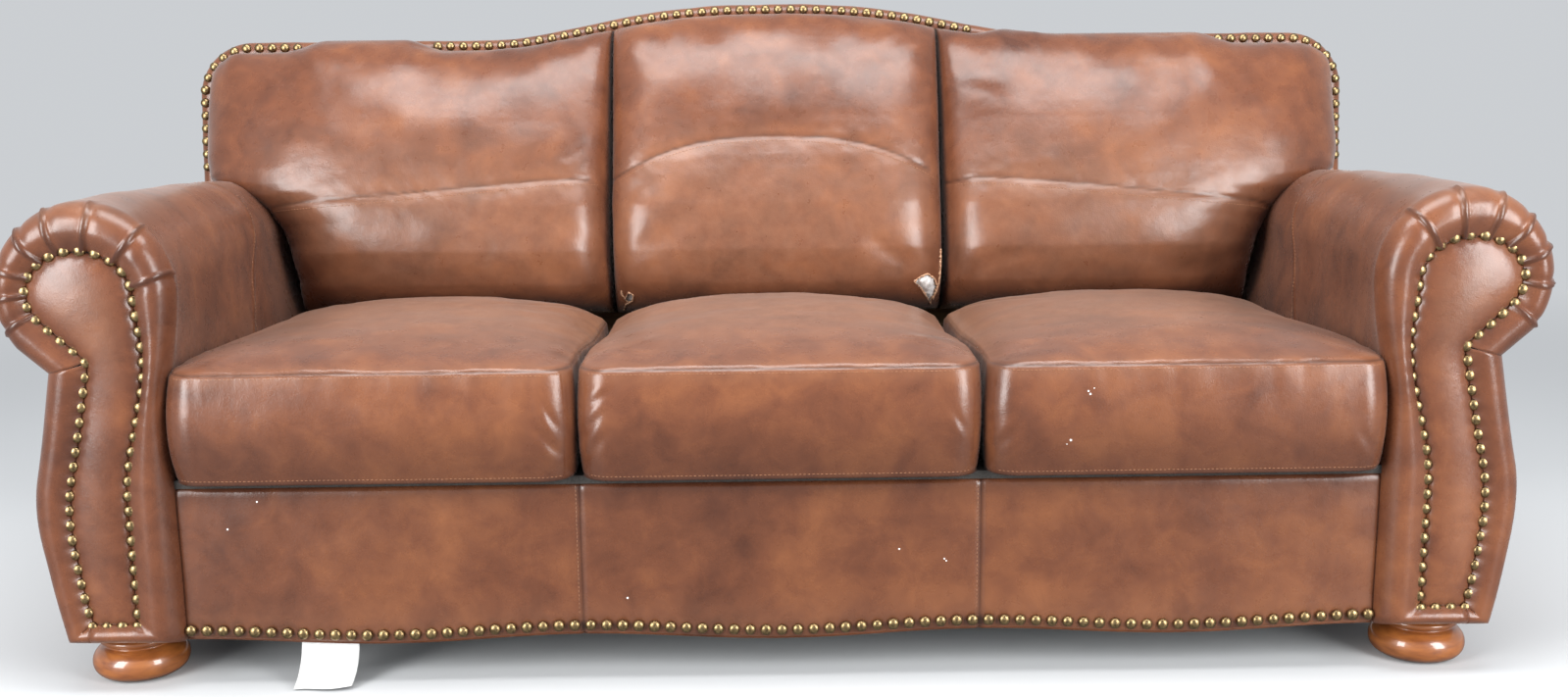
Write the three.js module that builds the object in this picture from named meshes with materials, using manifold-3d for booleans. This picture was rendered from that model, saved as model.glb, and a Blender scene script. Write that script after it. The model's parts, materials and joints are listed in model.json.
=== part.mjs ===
// A worn three-seat leather sofa with rolled arms, a camel back and loose seat cushions.
// Millimetres, +Z up. The front faces -Y, and the origin is on the floor under the middle.

import * as THREE from 'three';
import { mergeVertices } from 'three/addons/utils/BufferGeometryUtils.js';
import Module from 'manifold-3d';

const wasm = await Module();
wasm.setup();

// Clearances between pieces that touch on the real sofa.
const SEAT_GAP = 0.3;
const CUSHION_GAP = 1;
const ARM_CUSHION_GAP = 3;
const BORDER_GAP = 0.6;
const POST_GAP = 0.8;
const FACING_GAP = 0.8;

// Seat.
const SEAT_COUNT = 3;
const SEAT_CUSHION_WIDTH = 583;
const SEAT_CUSHION_DEPTH = 620;
const SEAT_BOXING_HEIGHT = 162;
const SEAT_CROWN = 34;
const SEAT_EDGE_RADIUS = 26;
const LEATHER_COVER = 4;
const ZIP_LENGTH = 320;
const ZIP_WIDTH = 6;

// Feet and underside.
const FOOT_HEIGHT = 72;
const BUN_HEIGHT = 50;
const BUN_RADIUS = 70;
const BUN_BULGE = 24;
const BUN_STEPS = 8;
const NECK_RADIUS = 43;
const NECK_RING_RADIUS = 52;
const NECK_RING_HEIGHT = 6;
const NECK_GROOVE = 3;
const FOOT_SIDES = 20;
const REAR_FOOT_TOP = 60;
const REAR_FOOT_BOTTOM = 48;
const FOOT_BLOCK_DEPTH = 80;
const FOOT_BLOCK_HEIGHT = 45;
const DUST_COVER_THICKNESS = 1.5;
const DUST_COVER_MARGIN = 15;

// Seat frame.
const RAIL_HEIGHT = 222;
const RAIL_THICKNESS = 25;
const SIDE_RAIL_HEIGHT = 100;
const SIDE_RAIL_THICKNESS = 34;
const STRETCHER_DROP = 24;
const SPRING_WIRE = 4;
const SPRINGS_PER_SEAT = 4;
const SPRING_SPACING = 125;
const SPRING_SWING = 24;
const SPRING_BENDS = 14;
const DECK_THICKNESS = 12;
const RAIL_COVER_SETBACK = 33;
const RAIL_COVER_THICKNESS = 10;
const RAIL_COVER_DROP = 2;
const RAIL_SCALLOP = 11;

// Arms. Widths are measured outwards from the inner face.
const ARM_HEIGHT = 708;
const ARM_SETBACK = 4;
const ARM_PADDING = 22;
const ARM_LEAN = 6;
const ARM_LEAN_ABOVE_DECK = 87;
const ROLL_HALF_WIDTH = 114;
const ROLL_HALF_HEIGHT = 120;
const REAR_ROLL_HALF_WIDTH = 92;
const REAR_ROLL_HALF_HEIGHT = 88;
const REAR_ROLL_SHIFT = 12;
const ROLL_END_ANGLE = -0.65;
const NOTCH_OUT = 50;
const NOTCH_BELOW_ROLL = 112;
const BELLY_WIDTH = 198;
const ARM_BASE_WIDTH = 166;
const ARM_BAND_THICKNESS = 24;
const FACING_SETBACK = 3;
const NAIL_INSET = 50;
const NAIL_ROLL_SHIFT = -5;
const NAIL_SIDE_INSET = 38;
const NAIL_TOP_INSET = 57;
const NAIL_INNER = 58;
const NAIL_WAIST = 20;
const NAIL_WAIST_BELOW_ROLL = 88;
const NAIL_STRAIGHT_BELOW_LEAN = 110;
const NAIL_BELLY = 149;
const NAIL_BASE = 127;
const NAIL_ABOVE_BASE = 26;
const ARM_POST_THICKNESS = 30;
const ARM_TOP_RAIL = 60;
const BASE_RAIL_WIDTH = 16;
const BASE_RAIL_HEIGHT = 66;

// Back. Heights are measured up the raked back from the underside of the frame.
const BACK_RAKE = THREE.MathUtils.degToRad(7);
const BACK_BEYOND_ARM_FACE = 198.5;
const BACK_CORNER_RADIUS = 100;
const SHOULDER_RISE = 866;
const CAMEL_RISE = 62;
const CAMEL_HALF_WIDTH = 540;
const CAMEL_POWER = 1.35;
const BORDER_LIP = 38;
const BORDER_SHOWN = 24;
const BORDER_PADDING = 16;
const BORDER_WRAP = 10;
const BACK_BOARD = 30;
const BACK_FRAME_DEPTH = 45;
const BACK_POST_WIDTH = 60;
const BACK_UPRIGHT_WIDTH = 60;
const BACK_TOP_RAIL_DEPTH = 76;
const BACK_LOWER_RAIL_RISE = 300;
const BACK_LOWER_RAIL_HEIGHT = 70;
const BACK_PANEL_THICKNESS = 4;
const WEBBING_WIDTH = 50;
const WEBBING_THICKNESS = 1.3;
const WEBBING_LAP = 25;
const WEBBING_COUNT = 3;
const BACK_CUSHION_LOWER = 225;
const BACK_CUSHION_UPPER = 112;
const BACK_CUSHION_EDGE = 50;
const BACK_CUSHION_SIDE_SHARE = 0.75;
const BACK_CUSHION_OVERHANG = 83;
const BACK_CUSHION_BELOW_SEAT = 54;
const SHOULDER_FLARE = 164;
const FILLING_SLIT_LENGTH = 220;

// Mesh fineness and the shapes of curves.
const CUSHION_CELLS = 6;
const CUSHION_SIDE_CELLS = 2;
const BACK_CUSHION_ROWS = 7;
const ARM_DIVISIONS = 6;
const CORNER_STEPS = 8;
const CAMEL_STEPS = 9;
const SCALLOP_STEPS = 8;
const LABEL_STEPS = 10;
const CURVE_EASE = 0.4;
const BASE_SPLAY = 0.2;
const SWELL_POWER = 6;

// The two torn lower corners of the middle back cushion: half sizes, and places from its lower corners.
const RIGHT_TEAR = { halfWidth: 17, halfHeight: 30, fromSide: 24, fromBottom: 46 };
const LEFT_TEAR = { halfWidth: 9, halfHeight: 12, fromSide: 18, fromBottom: 42 };
const TEAR_RAGGED = [1, 0.7, 1, 0.8, 0.95, 0.65, 1, 0.75];

// Care label.
const LABEL_WIDTH = 85;
const LABEL_THICKNESS = 0.8;
const LABEL_CENTRE_X = -668;
const LABEL_BEHIND_COVER = 2;
const LABEL_HANG = [[0, 0], [-1, -18], [-8, -38], [-22, -56], [-42, -69]];

// Levels and places that follow from the sizes above.
const baseZ = FOOT_HEIGHT + DUST_COVER_THICKNESS + 2 * SEAT_GAP;
const railTopZ = baseZ + RAIL_HEIGHT;
const springZ = railTopZ + SEAT_GAP + SPRING_WIRE / 2;
const deckZ = springZ + SPRING_WIRE / 2 + SEAT_GAP;
const deckTopZ = deckZ + DECK_THICKNESS;
const cushionZ = deckTopZ + SEAT_GAP;
const seatSeamZ = cushionZ + SEAT_BOXING_HEIGHT;

const seatPitch = SEAT_CUSHION_WIDTH + CUSHION_GAP;
const armInnerX = (SEAT_COUNT * seatPitch + CUSHION_GAP) / 2;
const backHalfWidth = armInnerX + BACK_BEYOND_ARM_FACE;

const backThickness = BORDER_PADDING + BACK_FRAME_DEPTH + BACK_PANEL_THICKNESS + SEAT_GAP;
const backTopRise = SHOULDER_RISE + CAMEL_RISE;
const seatToBack = BACK_CUSHION_LOWER - BACK_CUSHION_OVERHANG;
const backReach = backThickness * Math.cos(BACK_RAKE) + backTopRise * Math.sin(BACK_RAKE);
const overallDepth = SEAT_CUSHION_DEPTH + seatToBack + backReach;
const frontY = -overallDepth / 2;
const backY = frontY + SEAT_CUSHION_DEPTH + seatToBack;

const armFrontY = frontY + ARM_SETBACK;
const postFrontY = armFrontY + ARM_BAND_THICKNESS + SEAT_GAP;
const postInset = ARM_PADDING + POST_GAP;
const rearPostY = backY - SEAT_GAP - ARM_POST_THICKNESS;
const railCoverY = frontY + RAIL_COVER_SETBACK;
const frontRailY = railCoverY + RAIL_COVER_THICKNESS + SEAT_GAP;
const rearRailY = backY - SEAT_GAP - RAIL_THICKNESS;

const rollZ = ARM_HEIGHT - ROLL_HALF_HEIGHT;
const rollX = ROLL_HALF_WIDTH - ARM_LEAN;
const leanZ = deckTopZ + ARM_LEAN_ABOVE_DECK;
const bellyZ = (baseZ + rollZ - NOTCH_BELOW_ROLL) / 2;
const facingBottomZ = baseZ + NAIL_ABOVE_BASE;
const cushionBottom = (seatSeamZ - baseZ) / Math.cos(BACK_RAKE) - BACK_CUSHION_BELOW_SEAT;
const armTopRise = (rollZ + REAR_ROLL_HALF_HEIGHT - baseZ) / Math.cos(BACK_RAKE);

// Where the back's raked front face is along y, at a level.
const backFaceY = (z) => backY + (z - baseZ) * Math.tan(BACK_RAKE);

// Materials: each piece gets its own.
const leather = () => new THREE.MeshStandardMaterial({ color: 0x7d4830, roughness: 0.42, metalness: 0 });
const softwood = () => new THREE.MeshStandardMaterial({ color: 0xb98f5f, roughness: 0.8, metalness: 0 });
const lacquer = () => new THREE.MeshStandardMaterial({ color: 0x9a4a1c, roughness: 0.2, metalness: 0 });
const springSteel = () => new THREE.MeshStandardMaterial({ color: 0x55565a, roughness: 0.45, metalness: 1 });
const foam = () => new THREE.MeshStandardMaterial({ color: 0xe4d9a8, roughness: 0.95, metalness: 0 });
const fibre = () => new THREE.MeshStandardMaterial({ color: 0xe9e8e4, roughness: 1, metalness: 0 });
const blackCloth = () => new THREE.MeshStandardMaterial({ color: 0x1c1b1b, roughness: 0.95, metalness: 0 });
const webbingCloth = () => new THREE.MeshStandardMaterial({ color: 0x8f8468, roughness: 0.9, metalness: 0 });
const felt = () => new THREE.MeshStandardMaterial({ color: 0x3a3734, roughness: 1, metalness: 0 });
const labelCloth = () => new THREE.MeshStandardMaterial({ color: 0xf0f0ee, roughness: 0.8, metalness: 0 });

const sofa = new THREE.Group();
const backFrame = new THREE.Group();
backFrame.position.set(0, backY, baseZ);
backFrame.rotation.x = -BACK_RAKE;
sofa.add(backFrame);
backFrame.updateMatrixWorld(true);

function addPiece(parent, name, geometry, material) {
  geometry.computeVertexNormals();
  const mesh = new THREE.Mesh(geometry, material);
  mesh.name = name;
  parent.add(mesh);
}

// Joining and cutting closed geometries.
function toSolid(geometry) {
  const bare = geometry.clone();
  bare.deleteAttribute('normal');
  bare.deleteAttribute('uv');
  const merged = mergeVertices(bare);
  return new wasm.Manifold(new wasm.Mesh({
    numProp: 3,
    vertProperties: new Float32Array(merged.attributes.position.array),
    triVerts: new Uint32Array(merged.index.array),
  }));
}

function toGeometry(solid) {
  const mesh = solid.getMesh();
  const geometry = new THREE.BufferGeometry();
  geometry.setAttribute('position', new THREE.BufferAttribute(mesh.vertProperties, 3));
  geometry.setIndex(new THREE.BufferAttribute(mesh.triVerts, 1));
  return geometry;
}

function cut(geometry, ...tools) {
  return toGeometry(tools.reduce((left, tool) => left.subtract(toSolid(tool)), toSolid(geometry)));
}

function join(first, ...others) {
  return toGeometry(others.reduce((whole, other) => whole.add(toSolid(other)), toSolid(first)));
}

// Simple forms.
function block(x0, x1, y0, y1, z0, z1) {
  const geometry = new THREE.BoxGeometry(x1 - x0, y1 - y0, z1 - z0);
  geometry.translate((x0 + x1) / 2, (y0 + y1) / 2, (z0 + z1) / 2);
  return geometry;
}

// A closed outline in x and z, given depth along y from front to rear.
function slab(outline, front, rear) {
  const shape = new THREE.Shape(outline);
  const geometry = new THREE.ExtrudeGeometry(shape, { depth: rear - front, bevelEnabled: false });
  geometry.rotateX(Math.PI / 2);
  geometry.translate(0, rear, 0);
  return geometry;
}

// Moves every vertex of a geometry by a function of its place.
function warp(geometry, move) {
  const place = geometry.attributes.position;
  const point = new THREE.Vector3();
  for (let i = 0; i < place.count; i += 1) {
    point.fromBufferAttribute(place, i);
    move(point);
    place.setXYZ(i, point.x, point.y, point.z);
  }
  return geometry;
}

// Points along a chain of curves, without doubles where one curve ends and the next starts.
function trace(curves, divisions) {
  const points = [];
  for (const curve of curves) {
    const steps = curve.isLineCurve ? 1 : divisions;
    for (const point of curve.getPoints(steps)) {
      if (points.length === 0 || points.at(-1).distanceTo(point) > SEAT_GAP) points.push(point);
    }
  }
  return points;
}

const at = (x, z) => new THREE.Vector2(x, z);
const line = (from, to) => new THREE.LineCurve(from, to);
const bend = (from, pull, push, to) => new THREE.CubicBezierCurve(from, pull, push, to);

// The arm's outline, seen from the front, at an inset from the leather's surface.
function scroll(x, halfWidth, halfHeight) {
  return new THREE.EllipseCurve(x, rollZ, halfWidth, halfHeight, Math.PI, ROLL_END_ANGLE, true);
}

const rollEllipse = (inset) => scroll(rollX, ROLL_HALF_WIDTH - inset, ROLL_HALF_HEIGHT - inset);

function nailEllipse(inset) {
  const halfWidth = ROLL_HALF_WIDTH - NAIL_SIDE_INSET - inset;
  return scroll(rollX + NAIL_ROLL_SHIFT, halfWidth, ROLL_HALF_HEIGHT - NAIL_TOP_INSET - inset);
}

// Where the roll meets the outside panel: the mitre keeps both sides at the same inset.
const notch = at(rollX + NOTCH_OUT, rollZ - NOTCH_BELOW_ROLL);
const bellyPull = (notch.y - bellyZ) / 3;
const underRoll = notch.clone().sub(rollEllipse(0).getPoint(1)).normalize();
const downOutside = at(BELLY_WIDTH, bellyZ + bellyPull).sub(notch).normalize();
const intoRoll = at(underRoll.y, -underRoll.x);
const intoPanel = at(downOutside.y, -downOutside.x);
const mitre = intoRoll.clone().add(intoPanel).divideScalar(1 + intoRoll.dot(intoPanel));
const notchAt = (inset) => notch.clone().addScaledVector(mitre, inset);

// From the bottom of the inner face, over the roll, to the notch.
function rollPath(inset, bottomZ) {
  const left = inset - ARM_LEAN;
  const pull = (rollZ - leanZ) * CURVE_EASE;
  const ellipse = rollEllipse(inset);
  return trace([
    line(at(inset, bottomZ), at(inset, leanZ)),
    bend(at(inset, leanZ), at(inset, leanZ + pull), at(left, rollZ - pull), at(left, rollZ)),
    new THREE.SplineCurve(ellipse.getPoints(2 * ARM_DIVISIONS)),
    line(ellipse.getPoint(1), notchAt(inset)),
  ], 2 * ARM_DIVISIONS);
}

// From the notch down the outside to the base.
function outsidePath(inset) {
  const belly = at(BELLY_WIDTH - inset, bellyZ);
  const base = at(ARM_BASE_WIDTH - inset, baseZ);
  const start = notchAt(inset).sub(at(0, SEAT_GAP));
  const drop = (bellyZ - baseZ) / 3;
  const leave = start.clone().addScaledVector(downOutside, bellyPull);
  return trace([
    bend(start, leave, at(belly.x, bellyZ + bellyPull), belly),
    bend(belly, at(belly.x, bellyZ - drop), at(base.x + drop * BASE_SPLAY, baseZ + drop), base),
  ], ARM_DIVISIONS);
}

// The nailed line around the facing, in the same two stretches, moved inwards by an inset.
function nailRollPath(inset) {
  const waistZ = rollZ - NAIL_WAIST_BELOW_ROLL;
  const straightZ = leanZ - NAIL_STRAIGHT_BELOW_LEAN;
  const inner = NAIL_INNER + inset;
  const waist = NAIL_WAIST + inset;
  const ellipse = nailEllipse(inset);
  const left = ellipse.getPoint(0).x;
  const pull = (waistZ - straightZ) * CURVE_EASE;
  const rise = NAIL_WAIST_BELOW_ROLL * CURVE_EASE;
  return trace([
    line(at(inner, facingBottomZ + inset), at(inner, straightZ)),
    bend(at(inner, straightZ), at(inner, straightZ + pull), at(waist, waistZ - pull), at(waist, waistZ)),
    bend(at(waist, waistZ), at(waist, waistZ + rise), at(left, rollZ - rise), at(left, rollZ)),
    new THREE.SplineCurve(ellipse.getPoints(ARM_DIVISIONS)),
    line(ellipse.getPoint(1), notchAt(NAIL_INSET + inset)),
  ], ARM_DIVISIONS);
}

function nailOutsidePath(inset) {
  const start = notchAt(NAIL_INSET + inset).sub(at(0, SEAT_GAP));
  const belly = at(NAIL_BELLY - inset, bellyZ);
  const base = at(NAIL_BASE - inset, facingBottomZ + inset);
  const drop = (bellyZ - facingBottomZ) / 3;
  const leave = start.clone().addScaledVector(downOutside, bellyPull);
  return trace([
    bend(start, leave, at(belly.x, bellyZ + bellyPull), belly),
    bend(belly, at(belly.x, bellyZ - drop), at(base.x + drop * BASE_SPLAY, base.y + drop), base),
  ], ARM_DIVISIONS);
}

// The roll gets slimmer and lower towards the back: how far a point of the front outline moves on the way.
function taper(x, z) {
  const lowest = x < rollX ? leanZ : notch.y;
  const share = THREE.MathUtils.smoothstep(z, lowest, rollZ);
  const slimmer = (x - rollX) * (REAR_ROLL_HALF_WIDTH / ROLL_HALF_WIDTH - 1);
  const lower = Math.max(0, z - rollZ) * (REAR_ROLL_HALF_HEIGHT / ROLL_HALF_HEIGHT - 1);
  return at(share * (REAR_ROLL_SHIFT + slimmer), lower);
}

// Where a line along the arm, from a point of the front outline, ends on the raked back.
const armRearY = (x, z) => backFaceY(z + taper(x, z).y) - SEAT_GAP;

function slim(point) {
  const move = taper(point.x, point.z);
  const share = (point.y - armFrontY) / (armRearY(point.x, point.z) - armFrontY);
  point.x += share * move.x;
  point.z += share * move.y;
}

// A strip of padding that follows a path from the front of the arm to the raked back.
function armStrip(outerPoints, innerPoints) {
  const outline = [...outerPoints, ...innerPoints.reverse()];
  const middleY = (armFrontY + backY) / 2;
  return warp(slab(outline, armFrontY, backY), (point) => {
    if (point.y > middleY) point.y = armRearY(point.x, point.z);
    slim(point);
  });
}

function buildArm(side, name) {
  const arm = new THREE.Group();
  arm.position.x = side * armInnerX;
  arm.scale.x = side;
  sofa.add(arm);

  // The inside cover runs from the deck over the roll, and turns round the front edge as a band.
  const bandRear = armFrontY + ARM_BAND_THICKNESS;
  const insideStrip = armStrip(rollPath(0, deckTopZ), rollPath(ARM_PADDING, deckTopZ));
  const bandFoot = NAIL_BASE - SEAT_GAP;
  const insideBand = slab([
    ...rollPath(0, baseZ),
    ...nailRollPath(0).reverse(),
    at(bandFoot, facingBottomZ),
    at(bandFoot, baseZ),
  ], armFrontY, bandRear);
  addPiece(arm, `${name}_arm_inside_cover`, join(insideStrip, insideBand), leather());

  const outsideStrip = armStrip(outsidePath(0), outsidePath(ARM_PADDING));
  const outsideBand = slab([
    ...outsidePath(0),
    at(NAIL_BASE, baseZ),
    ...nailOutsidePath(0).reverse(),
  ], armFrontY, bandRear);
  addPiece(arm, `${name}_arm_outside_cover`, join(outsideStrip, outsideBand), leather());

  const facing = [...nailRollPath(FACING_GAP), ...nailOutsidePath(FACING_GAP)];
  addPiece(arm, `${name}_arm_facing`, slab(facing, armFrontY + FACING_SETBACK, bandRear), leather());

  // Frame inside the arm: two scroll boards, a rail in the roll and a rail along the base.
  const boardOutline = [...rollPath(postInset, baseZ), ...outsidePath(postInset)];
  for (const [end, front] of [['front', postFrontY], ['rear', rearPostY]]) {
    const post = warp(slab(boardOutline, front, front + ARM_POST_THICKNESS), slim);
    addPiece(arm, `${name}_arm_${end}_post`, post, softwood());
  }

  const frontEnd = postFrontY + ARM_POST_THICKNESS + SEAT_GAP;
  const rearEnd = rearPostY - SEAT_GAP;
  const half = ARM_TOP_RAIL / 2;
  const topRail = block(rollX - half, rollX + half, frontEnd, rearEnd, rollZ - half, rollZ + half);
  addPiece(arm, `${name}_arm_top_rail`, topRail, softwood());

  const baseRailOuter = ARM_BASE_WIDTH - postInset;
  const baseRailInner = baseRailOuter - BASE_RAIL_WIDTH;
  const baseRail = block(baseRailInner, baseRailOuter, frontEnd, rearEnd, baseZ, baseZ + BASE_RAIL_HEIGHT);
  addPiece(arm, `${name}_arm_base_rail`, baseRail, softwood());

  const sideRailOuter = postInset + SIDE_RAIL_THICKNESS;
  const sideRail = block(postInset, sideRailOuter, frontEnd, rearEnd, baseZ, baseZ + SIDE_RAIL_HEIGHT);
  addPiece(arm, `${name}_side_rail`, sideRail, softwood());

  // Foot blocks fill the corner between the two long rails, with a foot under each.
  const blockInner = sideRailOuter + SEAT_GAP;
  const blockOuter = baseRailInner - SEAT_GAP;
  const footX = (blockInner + blockOuter) / 2;
  const blockTop = baseZ + FOOT_BLOCK_HEIGHT;
  for (const [end, front] of [['front', frontEnd], ['rear', rearEnd - FOOT_BLOCK_DEPTH]]) {
    const rear = front + FOOT_BLOCK_DEPTH;
    const footBlock = block(blockInner, blockOuter, front, rear, baseZ, blockTop);
    addPiece(arm, `${name}_${end}_foot_block`, footBlock, softwood());
    const foot = end === 'front' ? bunFoot() : blockFoot();
    foot.translate(footX, (front + rear) / 2, 0);
    addPiece(arm, `${name}_${end}_foot`, foot, lacquer());
  }
}

// A turned bun foot: a squashed ball under a neck with two rings.
function bunFoot() {
  const halfHeight = BUN_HEIGHT / 2;
  const rim = BUN_RADIUS - BUN_BULGE;
  const ball = new THREE.EllipseCurve(rim, halfHeight, BUN_BULGE, halfHeight, -Math.PI / 2, Math.PI / 2);
  const upperRing = FOOT_HEIGHT - NECK_RING_HEIGHT;
  const lowerRing = upperRing - 2 * NECK_GROOVE;
  const profile = [
    at(0, 0),
    ...ball.getPoints(BUN_STEPS),
    at(NECK_RADIUS, BUN_HEIGHT + NECK_GROOVE / 2),
    at(NECK_RING_RADIUS, lowerRing - NECK_RING_HEIGHT / 2),
    at(NECK_RING_RADIUS, lowerRing),
    at(NECK_RADIUS, upperRing - NECK_GROOVE),
    at(NECK_RING_RADIUS, upperRing),
    at(NECK_RING_RADIUS, FOOT_HEIGHT),
    at(0, FOOT_HEIGHT),
  ];
  const geometry = new THREE.LatheGeometry(profile, FOOT_SIDES);
  geometry.rotateX(Math.PI / 2);
  return geometry;
}

// A plain tapered block, where the foot is out of sight.
function blockFoot() {
  const topRadius = REAR_FOOT_TOP * Math.SQRT1_2;
  const bottomRadius = REAR_FOOT_BOTTOM * Math.SQRT1_2;
  const geometry = new THREE.CylinderGeometry(topRadius, bottomRadius, FOOT_HEIGHT, 4);
  geometry.rotateY(Math.PI / 4);
  geometry.rotateX(Math.PI / 2);
  geometry.translate(0, 0, FOOT_HEIGHT / 2);
  return geometry;
}

// Seat frame between the arms.
function buildSeatFrame() {
  const railEnd = armInnerX + postInset - SEAT_GAP;
  const frontRail = block(-railEnd, railEnd, frontRailY, frontRailY + RAIL_THICKNESS, baseZ, railTopZ);
  addPiece(sofa, 'front_seat_rail', frontRail, softwood());
  const rearRail = block(-railEnd, railEnd, rearRailY, rearRailY + RAIL_THICKNESS, baseZ, railTopZ);
  addPiece(sofa, 'rear_seat_rail', rearRail, softwood());

  const stretcherFront = frontRailY + RAIL_THICKNESS + SEAT_GAP;
  const stretcherRear = rearRailY - SEAT_GAP;
  const stretcherTop = railTopZ - STRETCHER_DROP;
  for (const [name, side] of [['left', -1], ['right', 1]]) {
    const x = side * seatPitch / 2;
    const half = RAIL_THICKNESS / 2;
    const stretcher = block(x - half, x + half, stretcherFront, stretcherRear, baseZ, stretcherTop);
    addPiece(sofa, `${name}_seat_stretcher`, stretcher, softwood());
  }

  const dustHalf = armInnerX + ARM_BASE_WIDTH - DUST_COVER_MARGIN;
  const dustZ = FOOT_HEIGHT + SEAT_GAP;
  const dust = block(-dustHalf, dustHalf, frontRailY, backY, dustZ, dustZ + DUST_COVER_THICKNESS);
  addPiece(sofa, 'dust_cover', dust, blackCloth());

  const deckHalf = armInnerX - CUSHION_GAP;
  const deck = block(-deckHalf, deckHalf, railCoverY, rearRailY, deckZ, deckTopZ);
  addPiece(sofa, 'seat_deck', deck, felt());
}

// One bay of zigzag springs, tied by a stay wire across the middle.
function springBay(centreX) {
  const start = frontRailY + RAIL_THICKNESS / 2;
  const end = rearRailY + RAIL_THICKNESS / 2;
  const half = SPRING_WIRE / 2;
  const section = new THREE.Shape([at(half, 0), at(0, half), at(-half, 0), at(0, -half)]);
  const springs = [];
  for (let i = 0; i < SPRINGS_PER_SEAT; i += 1) {
    const x = centreX + (i - (SPRINGS_PER_SEAT - 1) / 2) * SPRING_SPACING;
    const bends = [];
    for (let k = 0; k <= SPRING_BENDS; k += 1) {
      const swing = k % 2 === 0 ? SPRING_SWING : -SPRING_SWING;
      bends.push(new THREE.Vector3(x + swing, start + (end - start) * k / SPRING_BENDS, springZ));
    }
    const path = new THREE.CatmullRomCurve3(bends);
    const options = { steps: 2 * SPRING_BENDS, extrudePath: path, bevelEnabled: false };
    springs.push(new THREE.ExtrudeGeometry(section, options));
  }
  const reach = (SPRINGS_PER_SEAT - 1) / 2 * SPRING_SPACING + 2 * SPRING_SWING;
  const middle = (start + end) / 2;
  const stay = block(
    centreX - reach, centreX + reach, middle - half, middle + half, springZ - half / 2, springZ + half / 2,
  );
  return join(stay, ...springs);
}

// A box cushion with rounded edges and a crowned top, made smaller all round by an inset.
function seatCushionForm(inset) {
  const half = new THREE.Vector3(SEAT_CUSHION_WIDTH, SEAT_CUSHION_DEPTH, SEAT_BOXING_HEIGHT)
    .multiplyScalar(0.5).subScalar(inset);
  const radius = SEAT_EDGE_RADIUS - inset;
  const flat = half.clone().subScalar(radius);
  const cells = [CUSHION_CELLS, CUSHION_CELLS, CUSHION_SIDE_CELLS];
  const geometry = new THREE.BoxGeometry(2 * half.x, 2 * half.y, 2 * half.z, ...cells);
  return warp(geometry, (point) => {
    const across = point.x / half.x;
    const along = point.y / half.y;
    const up = Math.max(0, point.z / half.z);
    const core = point.clone().clamp(flat.clone().negate(), flat);
    const out = point.clone().sub(core);
    if (out.length() > radius) point.copy(core).addScaledVector(out.normalize(), radius);
    point.z += SEAT_CROWN * up * (1 - across * across) * (1 - along * along);
  });
}

function buildSeatCushion(name, centreX) {
  const centreY = frontY + SEAT_CUSHION_DEPTH / 2;
  const centreZ = cushionZ + SEAT_BOXING_HEIGHT / 2;
  const half = SEAT_CUSHION_DEPTH / 2;
  const zipHalf = ZIP_LENGTH / 2;
  const zip = block(
    -zipHalf, zipHalf, half - 2 * LEATHER_COVER, half + LEATHER_COVER, -ZIP_WIDTH / 2, ZIP_WIDTH / 2,
  );
  const cover = cut(seatCushionForm(0), seatCushionForm(LEATHER_COVER), zip);
  const core = seatCushionForm(LEATHER_COVER + SEAT_GAP);
  for (const geometry of [cover, core]) geometry.translate(centreX, centreY, centreZ);
  addPiece(sofa, `${name}_seat_cushion_cover`, cover, leather());
  addPiece(sofa, `${name}_seat_cushion_core`, core, foam());
}

// The leather over the front rail, with a lower edge in three shallow scallops.
function buildRailCover() {
  const halfWidth = armInnerX + postInset - SEAT_GAP;
  const lowZ = baseZ - RAIL_COVER_DROP;
  const outline = [at(-halfWidth, deckZ - SEAT_GAP)];
  for (let panel = 0; panel < SEAT_COUNT; panel += 1) {
    const x0 = panel === 0 ? -halfWidth : (panel - SEAT_COUNT / 2) * seatPitch;
    const x1 = panel === SEAT_COUNT - 1 ? halfWidth : (panel + 1 - SEAT_COUNT / 2) * seatPitch;
    for (let i = panel === 0 ? 0 : 1; i <= SCALLOP_STEPS; i += 1) {
      const share = i / SCALLOP_STEPS;
      outline.push(at(x0 + (x1 - x0) * share, lowZ - RAIL_SCALLOP * Math.sin(Math.PI * share) ** 2));
    }
  }
  outline.push(at(halfWidth, deckZ - SEAT_GAP));
  const cover = slab(outline, railCoverY, railCoverY + RAIL_COVER_THICKNESS);
  addPiece(sofa, 'front_rail_cover', cover, leather());
}

// A blank cloth label that hangs from the front rail and curls forward towards the floor.
function buildLabel() {
  const startY = frontRailY + LABEL_BEHIND_COVER;
  const startZ = FOOT_HEIGHT;
  const hang = new THREE.SplineCurve(LABEL_HANG.map(([y, z]) => at(startY + y, startZ + z)));
  const face = hang.getPoints(LABEL_STEPS);
  const rear = face.map((point, i) => {
    const along = hang.getTangent(i / LABEL_STEPS);
    return point.clone().add(at(-along.y, along.x).multiplyScalar(LABEL_THICKNESS));
  });
  const shape = new THREE.Shape([...face, ...rear.reverse()]);
  const geometry = new THREE.ExtrudeGeometry(shape, { depth: LABEL_WIDTH, bevelEnabled: false });
  const axes = [new THREE.Vector3(0, 1, 0), new THREE.Vector3(0, 0, 1), new THREE.Vector3(1, 0, 0)];
  geometry.applyMatrix4(new THREE.Matrix4().makeBasis(...axes));
  geometry.translate(LABEL_CENTRE_X - LABEL_WIDTH / 2, 0, 0);
  addPiece(sofa, 'care_label', geometry, labelCloth());
}

// The camel outline of the back, at an inset from its edge.
function camel(x) {
  const share = Math.min(1, Math.abs(x) / CAMEL_HALF_WIDTH);
  return CAMEL_RISE * (1 + Math.cos(Math.PI * share ** CAMEL_POWER)) / 2;
}

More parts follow.
